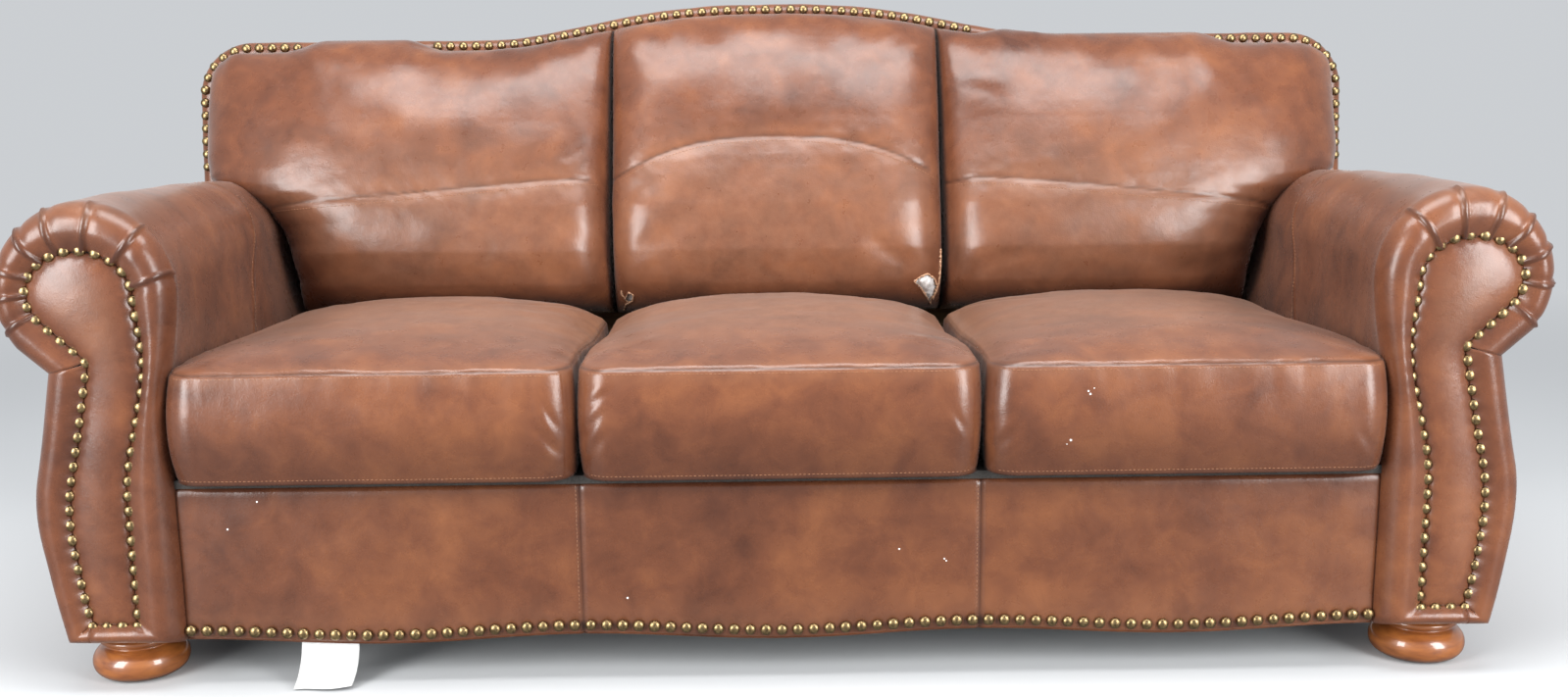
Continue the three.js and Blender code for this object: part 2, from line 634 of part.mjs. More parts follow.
function backTop(x, inset) {
  const radius = BACK_CORNER_RADIUS - inset;
  const over = Math.max(0, Math.abs(x) - backHalfWidth + BACK_CORNER_RADIUS);
  const drop = radius - Math.sqrt(Math.max(0, radius * radius - over * over));
  return SHOULDER_RISE - inset + camel(x) - drop;
}

// The stations across the top, from right to left, closer together round the corners.
function topStations(halfWidth, inset) {
  const stations = [halfWidth];
  const corner = backHalfWidth - BACK_CORNER_RADIUS;
  for (let i = CORNER_STEPS - 1; i >= 0; i -= 1) {
    stations.push(corner + (BACK_CORNER_RADIUS - inset) * Math.sin(Math.PI / 2 * i / CORNER_STEPS));
  }
  for (let i = CAMEL_STEPS; i >= 1; i -= 1) stations.push(CAMEL_HALF_WIDTH * i / CAMEL_STEPS);
  const right = stations.filter((x, i) => i === 0 || x < halfWidth - 1);
  return [...right, 0, ...right.map((x) => -x).reverse()];
}

function backOutline(halfWidth, bottom, inset) {
  const top = topStations(halfWidth, inset).map((x) => at(x, backTop(x, inset)));
  return [at(halfWidth, bottom), ...top, at(-halfWidth, bottom)];
}

function buildBackFrame() {
  const boardFront = BORDER_PADDING + SEAT_GAP;
  const boardRear = boardFront + BACK_BOARD;
  const frameInset = BORDER_WRAP + BORDER_GAP;
  const postOuter = backHalfWidth - frameInset;
  const postInner = postOuter - BACK_POST_WIDTH;
  const railEnd = postInner - SEAT_GAP;
  const topRailBottom = SHOULDER_RISE - BACK_TOP_RAIL_DEPTH;
  const lowerRailTop = BACK_LOWER_RAIL_RISE + BACK_LOWER_RAIL_HEIGHT;

  const topRail = slab(backOutline(railEnd, topRailBottom, frameInset), boardFront, boardRear);
  addPiece(backFrame, 'back_top_rail', topRail, softwood());
  const lowerRail = block(-railEnd, railEnd, boardFront, boardRear, BACK_LOWER_RAIL_RISE, lowerRailTop);
  addPiece(backFrame, 'back_lower_rail', lowerRail, softwood());

  for (const [name, side] of [['left', -1], ['right', 1]]) {
    const stations = topStations(postOuter, frameInset).filter((x) => x > postInner + 1);
    const outline = [at(postInner, 0), at(postOuter, 0)];
    for (const x of [...stations, postInner]) outline.push(at(x, backTop(x, frameInset)));
    const post = slab(outline.map((point) => at(side * point.x, point.y)), boardFront, boardRear);
    addPiece(backFrame, `${name}_back_post`, post, softwood());

    const x = side * seatPitch / 2;
    const half = BACK_UPRIGHT_WIDTH / 2;
    const low = lowerRailTop + SEAT_GAP;
    const upright = block(x - half, x + half, boardFront, boardRear, low, topRailBottom - SEAT_GAP);
    addPiece(backFrame, `${name}_back_upright`, upright, softwood());
  }

  // The leather border: a lip round the front, and a wrap over the edge to the rear.
  const rear = BORDER_PADDING + BACK_FRAME_DEPTH;
  const whole = slab(backOutline(backHalfWidth, 0, 0), 0, rear);
  const below = -BORDER_LIP;
  const pocket = backOutline(backHalfWidth - BORDER_WRAP, below, BORDER_WRAP);
  const window = backOutline(backHalfWidth - BORDER_LIP, below, BORDER_LIP);
  const border = cut(
    whole,
    slab(pocket, BORDER_PADDING, rear + BORDER_PADDING),
    slab(window, -BORDER_PADDING, rear),
  );
  addPiece(backFrame, 'back_border', border, leather());

  const panelFront = rear + SEAT_GAP;
  const panel = slab(backOutline(backHalfWidth, 0, 0), panelFront, panelFront + BACK_PANEL_THICKNESS);
  addPiece(backFrame, 'outside_back_panel', panel, leather());

  buildWebbing(postInner, lowerRailTop, topRailBottom);
}

// Crossed bands behind each back cushion, stapled to the front of the frame.
function buildWebbing(postInner, lowerRailTop, topRailBottom) {
  const rear = BORDER_PADDING;
  const front = rear - WEBBING_THICKNESS;
  const uprightInner = seatPitch / 2 - BACK_UPRIGHT_WIDTH / 2;
  const uprightOuter = uprightInner + BACK_UPRIGHT_WIDTH;
  const bays = [
    ['left', -postInner, -uprightOuter],
    ['middle', -uprightInner, uprightInner],
    ['right', uprightOuter, postInner],
  ];
  const half = WEBBING_WIDTH / 2;
  for (const [name, x0, x1] of bays) {
    const bands = [];
    for (let i = 1; i <= WEBBING_COUNT; i += 1) {
      const share = i / (WEBBING_COUNT + 1);
      const x = x0 + (x1 - x0) * share;
      const z = lowerRailTop + (topRailBottom - lowerRailTop) * share;
      const low = lowerRailTop - WEBBING_LAP;
      const high = topRailBottom + WEBBING_LAP;
      bands.push(block(x - half, x + half, front, rear, low, high));
      bands.push(block(x0 - WEBBING_LAP, x1 + WEBBING_LAP, front, rear, z - half, z + half));
    }
    addPiece(backFrame, `${name}_back_webbing`, join(...bands), webbingCloth());
  }
}

// Back cushions: pillows, thickest low down, on the border's lip. The outer two widen above the arms.
function backCushionForm(seat, inset) {
  const innerX = seatPitch / 2 - CUSHION_GAP / 2 - inset;
  const outerX = backHalfWidth - BORDER_SHOWN - inset;
  const lowX = armInnerX - CUSHION_GAP - inset;
  const bottom = cushionBottom + inset;
  const topInset = BORDER_SHOWN + inset;
  const nominalRise = SHOULDER_RISE - topInset - bottom;
  const geometry = new THREE.BoxGeometry(1, 1, 1, CUSHION_CELLS, 1, BACK_CUSHION_ROWS);
  return warp(geometry, (point) => {
    const across = point.x + 0.5;
    const up = point.z + 0.5;
    const front = point.y < 0;
    const level = bottom + up * nominalRise;
    const flare = THREE.MathUtils.smoothstep(level, armTopRise - SHOULDER_FLARE, armTopRise);
    const farX = THREE.MathUtils.lerp(lowX, outerX, flare);
    const nearX = innerX + CUSHION_GAP + 2 * inset;
    if (seat === 0) point.x = innerX * (2 * across - 1);
    else if (seat > 0) point.x = nearX + (farX - nearX) * across;
    else point.x = -farX + (farX - nearX) * across;
    point.z = bottom + up * (backTop(point.x, topInset) - bottom);
    const swellAcross = 1 - Math.abs(2 * across - 1) ** SWELL_POWER;
    const swellUp = 1 - Math.abs(2 * up - 1) ** SWELL_POWER;
    const middle = THREE.MathUtils.lerp(BACK_CUSHION_LOWER, BACK_CUSHION_UPPER, up);
    const full = middle * THREE.MathUtils.lerp(BACK_CUSHION_SIDE_SHARE, 1, swellAcross);
    const thickness = THREE.MathUtils.lerp(BACK_CUSHION_EDGE, full, swellUp);
    point.y = front ? inset - thickness : -SEAT_GAP - inset;
  });
}

// The room that an arm takes up, grown by a clearance, in the back's own frame.
function armRoom(side, clearance) {
  const outline = [...rollPath(-clearance, baseZ), ...outsidePath(-clearance)];
  const mirrored = outline.map((point) => at(side * (armInnerX + point.x), point.y));
  const room = warp(slab(mirrored, armFrontY, overallDepth), (point) => {
    point.x = side * point.x - armInnerX;
    slim(point);
    point.x = side * (armInnerX + point.x);
  });
  return room.applyMatrix4(backFrame.matrixWorld.clone().invert());
}

// A ragged hole through the front leather, near a lower corner.
function tearTool(side, tear) {
  const x = side * (seatPitch / 2 - tear.fromSide);
  const z = cushionBottom + tear.fromBottom;
  const outline = TEAR_RAGGED.map((reach, i) => {
    const angle = 2 * Math.PI * i / TEAR_RAGGED.length;
    return at(x + tear.halfWidth * reach * Math.cos(angle), z + tear.halfHeight * reach * Math.sin(angle));
  });
  return slab(outline, -BACK_CUSHION_LOWER, -BACK_CUSHION_EDGE / 2);
}

function buildBackCushion(name, seat) {
  const layers = [0, LEATHER_COVER, LEATHER_COVER + SEAT_GAP].map((inset) => {
    const form = backCushionForm(seat, inset);
    return seat === 0 ? form : cut(form, armRoom(seat, ARM_CUSHION_GAP + inset));
  });
  const [skin, hollow, fill] = layers;
  const slitX = seat * seatPitch;
  const slitZ = (cushionBottom + SHOULDER_RISE) / 2;
  const slitHalf = FILLING_SLIT_LENGTH / 2;
  const slit = block(-slitHalf, slitHalf, -2 * LEATHER_COVER, LEATHER_COVER, -ZIP_WIDTH / 2, ZIP_WIDTH / 2);
  slit.translate(slitX, 0, slitZ);
  const openings = seat === 0 ? [tearTool(1, RIGHT_TEAR), tearTool(-1, LEFT_TEAR)] : [slit];
  addPiece(backFrame, `${name}_back_cushion_cover`, cut(skin, hollow, ...openings), leather());
  addPiece(backFrame, `${name}_back_cushion_fill`, fill, fibre());
}

buildSeatFrame();
buildArm(-1, 'left');
buildArm(1, 'right');
buildRailCover();
buildLabel();
buildBackFrame();
['left', 'middle', 'right'].forEach((name, i) => {
  const seat = i - (SEAT_COUNT - 1) / 2;
  addPiece(sofa, `${name}_seat_springs`, springBay(seat * seatPitch), springSteel());
  buildSeatCushion(name, seat * seatPitch);
  buildBackCushion(name, seat);
});

export default sofa;
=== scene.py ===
# %% [markdown]
# # A worn leather sofa
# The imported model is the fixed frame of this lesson: every piece below is made around it, in metres, with
# +Z up and the front towards -Y. The frame could be drawn again here, but then the looks and the build
# would drift apart, so sizes and places are read from it wherever it has them.

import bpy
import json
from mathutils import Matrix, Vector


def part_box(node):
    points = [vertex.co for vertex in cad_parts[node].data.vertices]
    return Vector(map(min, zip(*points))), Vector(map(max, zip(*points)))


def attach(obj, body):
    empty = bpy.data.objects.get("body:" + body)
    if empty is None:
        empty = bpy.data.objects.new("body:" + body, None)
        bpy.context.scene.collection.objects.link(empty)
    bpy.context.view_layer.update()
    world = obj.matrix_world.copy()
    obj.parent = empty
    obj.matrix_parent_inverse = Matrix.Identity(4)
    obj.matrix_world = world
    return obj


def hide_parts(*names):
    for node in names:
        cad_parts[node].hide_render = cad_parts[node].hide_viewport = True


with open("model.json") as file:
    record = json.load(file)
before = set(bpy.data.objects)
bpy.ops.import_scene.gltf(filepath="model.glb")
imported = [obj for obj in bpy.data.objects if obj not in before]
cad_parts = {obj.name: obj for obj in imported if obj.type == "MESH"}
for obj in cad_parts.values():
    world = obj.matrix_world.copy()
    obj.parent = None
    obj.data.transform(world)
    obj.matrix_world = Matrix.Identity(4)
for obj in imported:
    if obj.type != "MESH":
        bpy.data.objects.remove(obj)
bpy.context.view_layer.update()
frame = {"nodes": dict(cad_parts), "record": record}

import json
import math

import bmesh
import bpy
import numpy as np
from mathutils import Euler, Vector, bvhtree, geometry, kdtree

scene = bpy.context.scene

# %% [markdown]
# ## Places that the frame gives
# An upholsterer measures from the seat deck, the arm's inner face and the raked back. The same three
# references serve here: all later shapes are written relative to them.

# %% Levels, arm faces and the raked back
MM = 0.001
SIDES = (("left", -1), ("right", 1))
SEATS = (("left", -1), ("middle", 0), ("right", 1))
DECK_SIDE_GAP = 1 * MM
BACK_RAKE = math.radians(7)

BASE_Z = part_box("front_seat_rail")[0].z
DECK_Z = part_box("seat_deck")[1].z
ARM_FACE_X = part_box("seat_deck")[1].x + DECK_SIDE_GAP
ARM_FRONT_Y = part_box("right_arm_inside_cover")[0].y
BACK_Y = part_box("back_border")[0].y
BACK_HALF_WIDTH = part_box("outside_back_panel")[1].x
RAIL_COVER_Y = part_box("front_rail_cover")[0].y


def on_back(x, rise, out):
    """A point of the raked back: across, up the slope, and out towards the sitter."""
    x, rise, out = np.broadcast_arrays(x, rise, out)
    y = BACK_Y - out * math.cos(BACK_RAKE) + rise * math.sin(BACK_RAKE)
    z = BASE_Z + rise * math.cos(BACK_RAKE) + out * math.sin(BACK_RAKE)
    return np.stack([x, y, z], axis=-1)


def back_face_y(z):
    return BACK_Y + (z - BASE_Z) * math.tan(BACK_RAKE)


print("deck at", round(DECK_Z, 4), "arm face at", round(ARM_FACE_X, 4), "back foot at", round(BACK_Y, 4))

# %% [markdown]
# ## Helpers for soft surfaces
# Leather over padding is a smooth sheet with a few sharp events: seams, pleats and folds. Sculpting them
# by hand would not repeat, so each sheet is a fine grid of points, and the events are fields that push
# the points along the surface's own normals. The noise is made from a hash, so it is the same on every
# run.


# %% Fields: noise, steps, creases
def smooth(value, low, high):
    share = np.clip((value - low) / (high - low), 0, 1)
    return share * share * (3 - 2 * share)


def bump_at(distance, width):
    return np.exp(-((distance / width) ** 2))


def soft_noise(points, size, seed):
    """Smooth noise between -1 and 1 that changes over about one size."""
    place = np.asarray(points) / size
    cell = np.floor(place)
    part = place - cell
    ease = part * part * (3 - 2 * part)
    total = np.zeros(place.shape[:-1])
    for corner in np.ndindex(*(2,) * place.shape[-1]):
        key = (cell + corner) @ np.array([127.1, 311.7, 74.7])[: place.shape[-1]] + 19.19 * seed
        value = np.modf(np.sin(key) * 43758.5453)[0]
        total += value * np.prod(np.where(corner, ease, 1 - ease), axis=-1)
    return total


def crease(p, q, start, end, width, depth, bow=0.0):
    """A fold from start to end on a surface with coordinates p and q: a valley with a ridge beside it."""
    run = np.subtract(end, start)
    length = np.hypot(*run)
    along = ((p - start[0]) * run[0] + (q - start[1]) * run[1]) / length**2
    across = ((q - start[1]) * run[0] - (p - start[0]) * run[1]) / length
    across = across - bow * 4 * along * (1 - along)
    fade = np.clip(4 * along * (1 - along), 0, 1) ** 1.5
    return depth * fade * (0.6 * bump_at(across - 1.9 * width, 1.4 * width) - bump_at(across, width))


def distance_to_line(p, q, line):
    """Distance from points p, q to a chain of straight pieces."""
    best = np.full(np.shape(p), np.inf)
    for (x0, y0), (x1, y1) in zip(line[:-1], line[1:]):
        dx, dy = x1 - x0, y1 - y0
        share = np.clip(((p - x0) * dx + (q - y0) * dy) / (dx * dx + dy * dy), 0, 1)
        best = np.minimum(best, np.hypot(p - x0 - share * dx, q - y0 - share * dy))
    return best


def rounded_line(points, count):
    """A smooth curve through a few points, as many closer points at even steps."""
    points = np.array(points, float)
    for _ in range(3):
        middle = np.empty((2 * len(points) - 2, points.shape[1]))
        middle[0::2] = 0.75 * points[:-1] + 0.25 * points[1:]
        middle[1::2] = 0.25 * points[:-1] + 0.75 * points[1:]
        points = np.vstack([points[:1], middle, points[-1:]])
    return even_steps(points, count)


def even_steps(points, count):
    points = np.asarray(points, float)
    reach = np.concatenate([[0], np.cumsum(np.linalg.norm(np.diff(points, axis=0), axis=1))])
    stations = np.linspace(0, reach[-1], count)
    return np.stack([np.interp(stations, reach, points[:, i]) for i in range(points.shape[1])], axis=-1)


def path_length(points):
    return float(np.linalg.norm(np.diff(points, axis=0), axis=1).sum())


# %% Meshes from points
def new_piece(name, vertices, faces):
    mesh = bpy.data.meshes.new(name)
    mesh.from_pydata(np.asarray(vertices, float).reshape(-1, 3).tolist(), [], [list(face) for face in faces])
    mesh.update()
    piece = bpy.data.objects.new(name, mesh)
    scene.collection.objects.link(piece)
    mesh.shade_smooth()
    return piece


def grid_faces(rows, columns, flip=False, round_columns=False):
    faces = []
    last = columns if round_columns else columns - 1
    for i in range(rows - 1):
        for j in range(last):
            k = (j + 1) % columns
            face = (i * columns + j, (i + 1) * columns + j, (i + 1) * columns + k, i * columns + k)
            faces.append(face[::-1] if flip else face)
    return faces


def points_of(piece):
    flat = np.empty(len(piece.data.vertices) * 3)
    piece.data.vertices.foreach_get("co", flat)
    return flat.reshape(-1, 3)


def set_points(piece, points):
    piece.data.vertices.foreach_set("co", np.ascontiguousarray(points, float).ravel())
    piece.data.update()


def normals_of(piece):
    flat = np.empty(len(piece.data.vertices) * 3)
    piece.data.vertex_normals.foreach_get("vector", flat)
    return flat.reshape(-1, 3)


def push(piece, distance):
    """Moves each point along the surface's normal."""
    set_points(piece, points_of(piece) + normals_of(piece) * np.asarray(distance)[:, None])


def paint(piece, name, values):
    layer = piece.data.attributes.get(name) or piece.data.attributes.new(name, "FLOAT", "POINT")
    layer.data.foreach_set("value", np.asarray(values, np.float32).ravel())


def plain_mesh(piece):
    """Bakes a piece's modifiers into its mesh."""
    view = bpy.context.evaluated_depsgraph_get()
    view.update()
    mesh = bpy.data.meshes.new_from_object(piece.evaluated_get(view))
    piece.modifiers.clear()
    piece.data = mesh
    return piece


def thicken(piece, thickness):
    """Gives an open sheet of leather its thickness, inwards from the face that shows."""
    wall = piece.modifiers.new("leather thickness", "SOLIDIFY")
    wall.thickness = thickness
    wall.offset = -1
    wall.use_even_offset = False
    return plain_mesh(piece)


def close_holes(piece):
    work = bmesh.new()
    work.from_mesh(piece.data)
    bmesh.ops.remove_doubles(work, verts=work.verts, dist=1e-6)
    bmesh.ops.holes_fill(work, edges=work.edges, sides=0)
    bmesh.ops.recalc_face_normals(work, faces=work.faces)
    work.to_mesh(piece.data)
    work.free()
    piece.data.shade_smooth()
    return piece


def finish_piece(piece, material, slot, *nodes):
    """The frame's book-keeping: what the piece rides on, its finish, and the nodes that it stands for."""
    piece.data.materials.clear()
    piece.data.materials.append(material)
    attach(piece, "root")
    if nodes:
        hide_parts(*nodes)
    print(piece.name, len(piece.data.polygons), "faces")
    return piece


# %% [markdown]
# ## Materials
# The leather is antiqued by hand: a reddish brown coat is rubbed over an orange-brown ground, so the tone
# drifts over a hand's width and breaks up in small clouds. A picture of leather would be the quick way,
# but a tree of noises has no seams and works at any size. Two values that are painted on the points steer
# it. The first, `shade`, is painted shade: it darkens the seams' grooves, the folds, the nail dimples and
# the places where parts meet or tuck under each other, and along the seams it also stands for the darker
# antiquing there. The second makes the rubbed places paler and duller, and on the seat tops and where the
# pillows swell out most it is also a painted sheen and highlight.

# %% Small tools for shader trees
GRAIN_CELLS = 620
LEATHER_TONES = (
    (0.28, (0.064, 0.020, 0.010)), (0.50, (0.140, 0.046, 0.020)), (0.74, (0.236, 0.084, 0.032)),
)
TONE_SHIFT = -0.09
# The colour that the painted shade darkens towards.
PAINTED_SHADE_COLOUR = (0.035, 0.011, 0.006, 1)
# The pale colour of wear and of the painted sheen.
WEAR_AND_SHEEN_COLOUR = (0.30, 0.15, 0.085, 1)


def start_material(name):
    material = bpy.data.materials.new(name)
    material.use_nodes = True
    tree = material.node_tree
    return material, tree, tree.nodes["Principled BSDF"]


def add_node(tree, kind, inputs=None, **settings):
    node = tree.nodes.new(kind)
    for key, value in settings.items():
        setattr(node, key, value)
    for key, value in (inputs or {}).items():
        if isinstance(value, bpy.types.NodeSocket):
            tree.links.new(value, node.inputs[key])
        else:
            node.inputs[key].default_value = value
    return node


def noise_node(tree, place, scale, detail, rough=0.5, distortion=0.0):
    values = {"Vector": place, "Scale": scale, "Detail": detail, "Roughness": rough}
    values["Distortion"] = distortion
    return add_node(tree, "ShaderNodeTexNoise", values).outputs["Fac"]


def ramp_node(tree, value, stops):
    node = add_node(tree, "ShaderNodeValToRGB", {"Fac": value})
    ramp = node.color_ramp
    while len(ramp.elements) < len(stops):
        ramp.elements.new(0.5)
    for element, (place, colour) in zip(ramp.elements, stops):
        element.position = place
        element.color = (*colour[:3], 1)
    return node.outputs["Color"]


def mix_node(tree, share, first, second, blend="MIX"):
    node = add_node(tree, "ShaderNodeMix", data_type="RGBA", blend_type=blend)
    for socket, value in zip((node.inputs[0], node.inputs[6], node.inputs[7]), (share, first, second)):
        if isinstance(value, bpy.types.NodeSocket):
            tree.links.new(value, socket)
        else:
            socket.default_value = value
    return node.outputs[2]


def math_node(tree, operation, first, second, third=0.0):
    node = add_node(tree, "ShaderNodeMath", operation=operation)
    for socket, value in zip(node.inputs, (first, second, third)):
        if isinstance(value, bpy.types.NodeSocket):
            tree.links.new(value, socket)
        else:
            socket.default_value = value
    return node.outputs[0]


def bump_node(tree, height, strength, distance, normal=None):
    values = {"Height": height, "Strength": strength, "Distance": distance}
    if normal is not None:
        values["Normal"] = normal
    return add_node(tree, "ShaderNodeBump", values).outputs["Normal"]


def object_place(tree):
    return add_node(tree, "ShaderNodeTexCoord").outputs["Object"]


def painted(tree, name):
    return add_node(tree, "ShaderNodeAttribute", attribute_name=name).outputs["Fac"]


# %% Antiqued leather
def make_leather(name):
    material, tree, shader = start_material(name)
    place = object_place(tree)
    drift = noise_node(tree, place, 3.1, 3, 0.55, 0.6)
    clouds = noise_node(tree, place, 17, 5, 0.62, 0.4)
    tone = math_node(tree, "MULTIPLY_ADD", clouds, 0.55, math_node(tree, "MULTIPLY", drift, 0.62))
    tone = math_node(tree, "ADD", tone, TONE_SHIFT)
    colour = ramp_node(tree, tone, LEATHER_TONES)
    shade = painted(tree, "shade")
    wear_and_sheen = painted(tree, "wear_and_sheen")
    # Painted shade: the colour goes towards a near-black brown where `shade` is high.
    colour = mix_node(tree, shade, colour, PAINTED_SHADE_COLOUR)
    # Wear and painted sheen: paler, noisy spots where the second painted value is high; they are also
    # rougher.
    wear_and_sheen_spots = math_node(tree, "MULTIPLY", wear_and_sheen, noise_node(tree, place, 45, 4, 0.7))
    colour = mix_node(tree, wear_and_sheen_spots, colour, WEAR_AND_SHEEN_COLOUR)
    tree.links.new(colour, shader.inputs["Base Color"])

    gloss = noise_node(tree, place, 38, 3, 0.6)
    rough = math_node(tree, "MULTIPLY_ADD", gloss, 0.16, 0.20)
    rough = math_node(tree, "MULTIPLY_ADD", wear_and_sheen_spots, 0.12, rough)
    tree.links.new(rough, shader.inputs["Roughness"])
    shader.inputs["Sheen Weight"].default_value = 0.12
    shader.inputs["Sheen Roughness"].default_value = 0.4
    shader.inputs["Sheen Tint"].default_value = (1, 0.93, 0.90, 1)

    pebbles = {"Vector": place, "Scale": GRAIN_CELLS, "Randomness": 1.0}
    grain = add_node(tree, "ShaderNodeTexVoronoi", pebbles, feature="SMOOTH_F1").outputs["Distance"]
    fine = bump_node(tree, grain, 0.18, 0.0006)
    slack = noise_node(tree, place, 70, 4, 0.6)
    tree.links.new(bump_node(tree, slack, 0.16, 0.002, fine), shader.inputs["Normal"])
    return material


leather = make_leather("antiqued_leather")
print("leather:", len(leather.node_tree.nodes), "nodes")


# %% Brass, lacquer, thread, cloth, fill, wood and steel
def make_finish(name, low, high, scale, roughness, metallic=0.0, bump=0.0, stretch=(1, 1, 1), coat=0.0):
    """A two-tone finish: noise mixes the colours, varies the gloss and lifts the surface."""
    material, tree, shader = start_material(name)
    place = add_node(tree, "ShaderNodeMapping", {"Vector": object_place(tree), "Scale": stretch}).outputs[0]
    pattern = noise_node(tree, place, scale, 6, 0.6, 0.3)
    tree.links.new(ramp_node(tree, pattern, ((0.3, low), (0.7, high))), shader.inputs["Base Color"])
    rough = math_node(tree, "MULTIPLY_ADD", pattern, 0.16, roughness - 0.08)
    tree.links.new(rough, shader.inputs["Roughness"])
    shader.inputs["Metallic"].default_value = metallic
    shader.inputs["Coat Weight"].default_value = coat
    shader.inputs["Coat Roughness"].default_value = 0.08
    if bump:
        tree.links.new(bump_node(tree, pattern, bump, 0.001), shader.inputs["Normal"])
    return material


def make_weave(name, low, high, threads):
    """Plain cloth: two crossed sets of waves lift the threads."""
    material, tree, shader = start_material(name)
    place = object_place(tree)
    waves = []
    for axis in ("X", "Y"):
        values = {"Vector": place, "Scale": threads, "Distortion": 0.6}
        waves.append(add_node(tree, "ShaderNodeTexWave", values, bands_direction=axis).outputs["Fac"])
    height = math_node(tree, "MAXIMUM", *waves)
    raised = math_node(tree, "MULTIPLY", height, 0.4)
    shade = math_node(tree, "MULTIPLY_ADD", noise_node(tree, place, 60, 4), 0.6, raised)
    tree.links.new(ramp_node(tree, shade, ((0.25, low), (0.75, high))), shader.inputs["Base Color"])
    tree.links.new(bump_node(tree, height, 0.35, 0.0008), shader.inputs["Normal"])
    shader.inputs["Roughness"].default_value = 0.85
    return material


brass = make_finish("antique_brass", (0.09, 0.06, 0.03), (0.41, 0.29, 0.14), 260, 0.34, 1.0, 0.12)
lacquer = make_finish(
    "amber_lacquer", (0.16, 0.042, 0.010), (0.38, 0.125, 0.028), 22, 0.34, 0.0, 0.05, (1, 1, 4), 0.9,
)
thread = make_finish("brown_thread", (0.20, 0.085, 0.04), (0.36, 0.17, 0.085), 900, 0.7, bump=0.3)
suede = make_finish("torn_suede", (0.42, 0.20, 0.10), (0.72, 0.46, 0.30), 300, 0.9, bump=0.5)
fibre = make_finish("white_fibre", (0.62, 0.61, 0.60), (0.92, 0.92, 0.91), 240, 0.95, bump=0.6)
paint_white = make_finish("dried_white_paint", (0.66, 0.64, 0.62), (0.90, 0.89, 0.88), 420, 0.6, bump=0.3)
softwood = make_finish(
    "sawn_softwood", (0.42, 0.26, 0.13), (0.66, 0.45, 0.25), 16, 0.8, 0, 0.3, (0.25, 6, 6),
)
steel = make_finish("spring_wire", (0.10, 0.10, 0.105), (0.22, 0.22, 0.23), 130, 0.42, 1.0, 0.1)
foam = make_finish("seat_foam", (0.62, 0.54, 0.32), (0.80, 0.72, 0.48), 420, 0.95, bump=0.4)
# The deck felt is near black, so that where it shows between the seats and the apron it reads as the shade
# there: its own colour and painted shade together.
shade_dark_felt = make_finish("deck_felt", (0.025, 0.022, 0.02), (0.06, 0.055, 0.05), 300, 0.95, bump=0.5)
label_cloth = make_weave("label_cloth", (0.58, 0.58, 0.57), (0.74, 0.74, 0.73), 600)
dust_cloth = make_weave("dust_cloth", (0.008, 0.008, 0.008), (0.025, 0.025, 0.025), 420)
webbing = make_weave("webbing_cloth", (0.20, 0.17, 0.11), (0.42, 0.37, 0.26), 260)

# %% [markdown]
# ## Pieces out of sight keep their shape
# The frame, springs, webbing, deck and dust cover are right as they are, so their nodes stay and only get
# a finish: which one is read from the record's own list of sub-parts.

# %% Finishes for the nodes that stay
SLOT_FINISH = {
    "frame_wood": softwood, "lacquered_wood": lacquer, "spring_steel": steel, "seat_foam": foam,
    "fibre_fill": fibre, "webbing_cloth": webbing, "deck_felt": shade_dark_felt, "dust_cloth": dust_cloth,
    "label_cloth": label_cloth, "worn_leather": leather,
}
for part in frame["record"]["subparts"]:
    node = frame["nodes"][part["node"]]
    node.data.materials.clear()
    node.data.materials.append(SLOT_FINISH[part["material_slot"]])

# %% [markdown]
# ## The arms
# A rolled arm is a board with a scroll outline, padded and covered. One hide runs up the inner face, over
# the roll and under it to a notch. At the front it turns round a fat padded edge and is nailed in pleats
# around the facing. The cover could be inflated in a simulation, but its shape follows a rule, so it is a
# sweep: a section that gets slimmer and lower towards the back, and at the front a rounded edge that ends
# in the line of nails. Widths are measured outwards from the arm's inner face.

# %% The arm's section and the nailed line
LEAN_Z = DECK_Z + 87 * MM
ROLL_Z = 588 * MM
ROLL_END = -0.65
ROLL_RISE = 127 * MM
ROLL_DROP = 41 * MM
ROLL_HALF_WIDTH = 112 * MM
ROLL_SLIMMER = 20 * MM
ROLL_CENTRE = 108 * MM
ROLL_SHIFT = 12 * MM
EDGE_FLARE = 12 * MM
EDGE_FLARE_REACH = 0.05
NOTCH = (158 * MM, 476 * MM)
BELLY = (198 * MM, 275 * MM)
ARM_FOOT = 166 * MM
NAIL_SCROLL = (103 * MM, 76 * MM, 63 * MM)
NAIL_NOTCH = (101 * MM, 491 * MM)
NAIL_BELLY = 149 * MM
NAIL_FOOT = 127 * MM
NAIL_INNER = 58 * MM
NAIL_WAIST = (20 * MM, 500 * MM)
NAIL_LOW_Z = 100 * MM
NAIL_STRAIGHT_Z = 290 * MM
FOOT_RUN, INNER_RUN, LEAN_RUN, SCROLL_RUN, UNDER_RUN, OUTER_RUN = 8, 28, 36, 150, 16, 84


def straight(start, end, count):
    return np.linspace(start, end, count, endpoint=False)


def ease_up(x0, z0, x1, z1, count):
    """A curve that leaves and arrives upright."""
    share = np.linspace(0, 1, count, endpoint=False)
    return np.stack([x0 + (x1 - x0) * smooth(share, 0, 1), z0 + (z1 - z0) * share], axis=-1)


def scroll_arc(centre, half_width, half_height, count):
    angle = np.linspace(math.pi, ROLL_END, count)
    return np.stack([centre + half_width * np.cos(angle), ROLL_Z + half_height * np.sin(angle)], axis=-1)


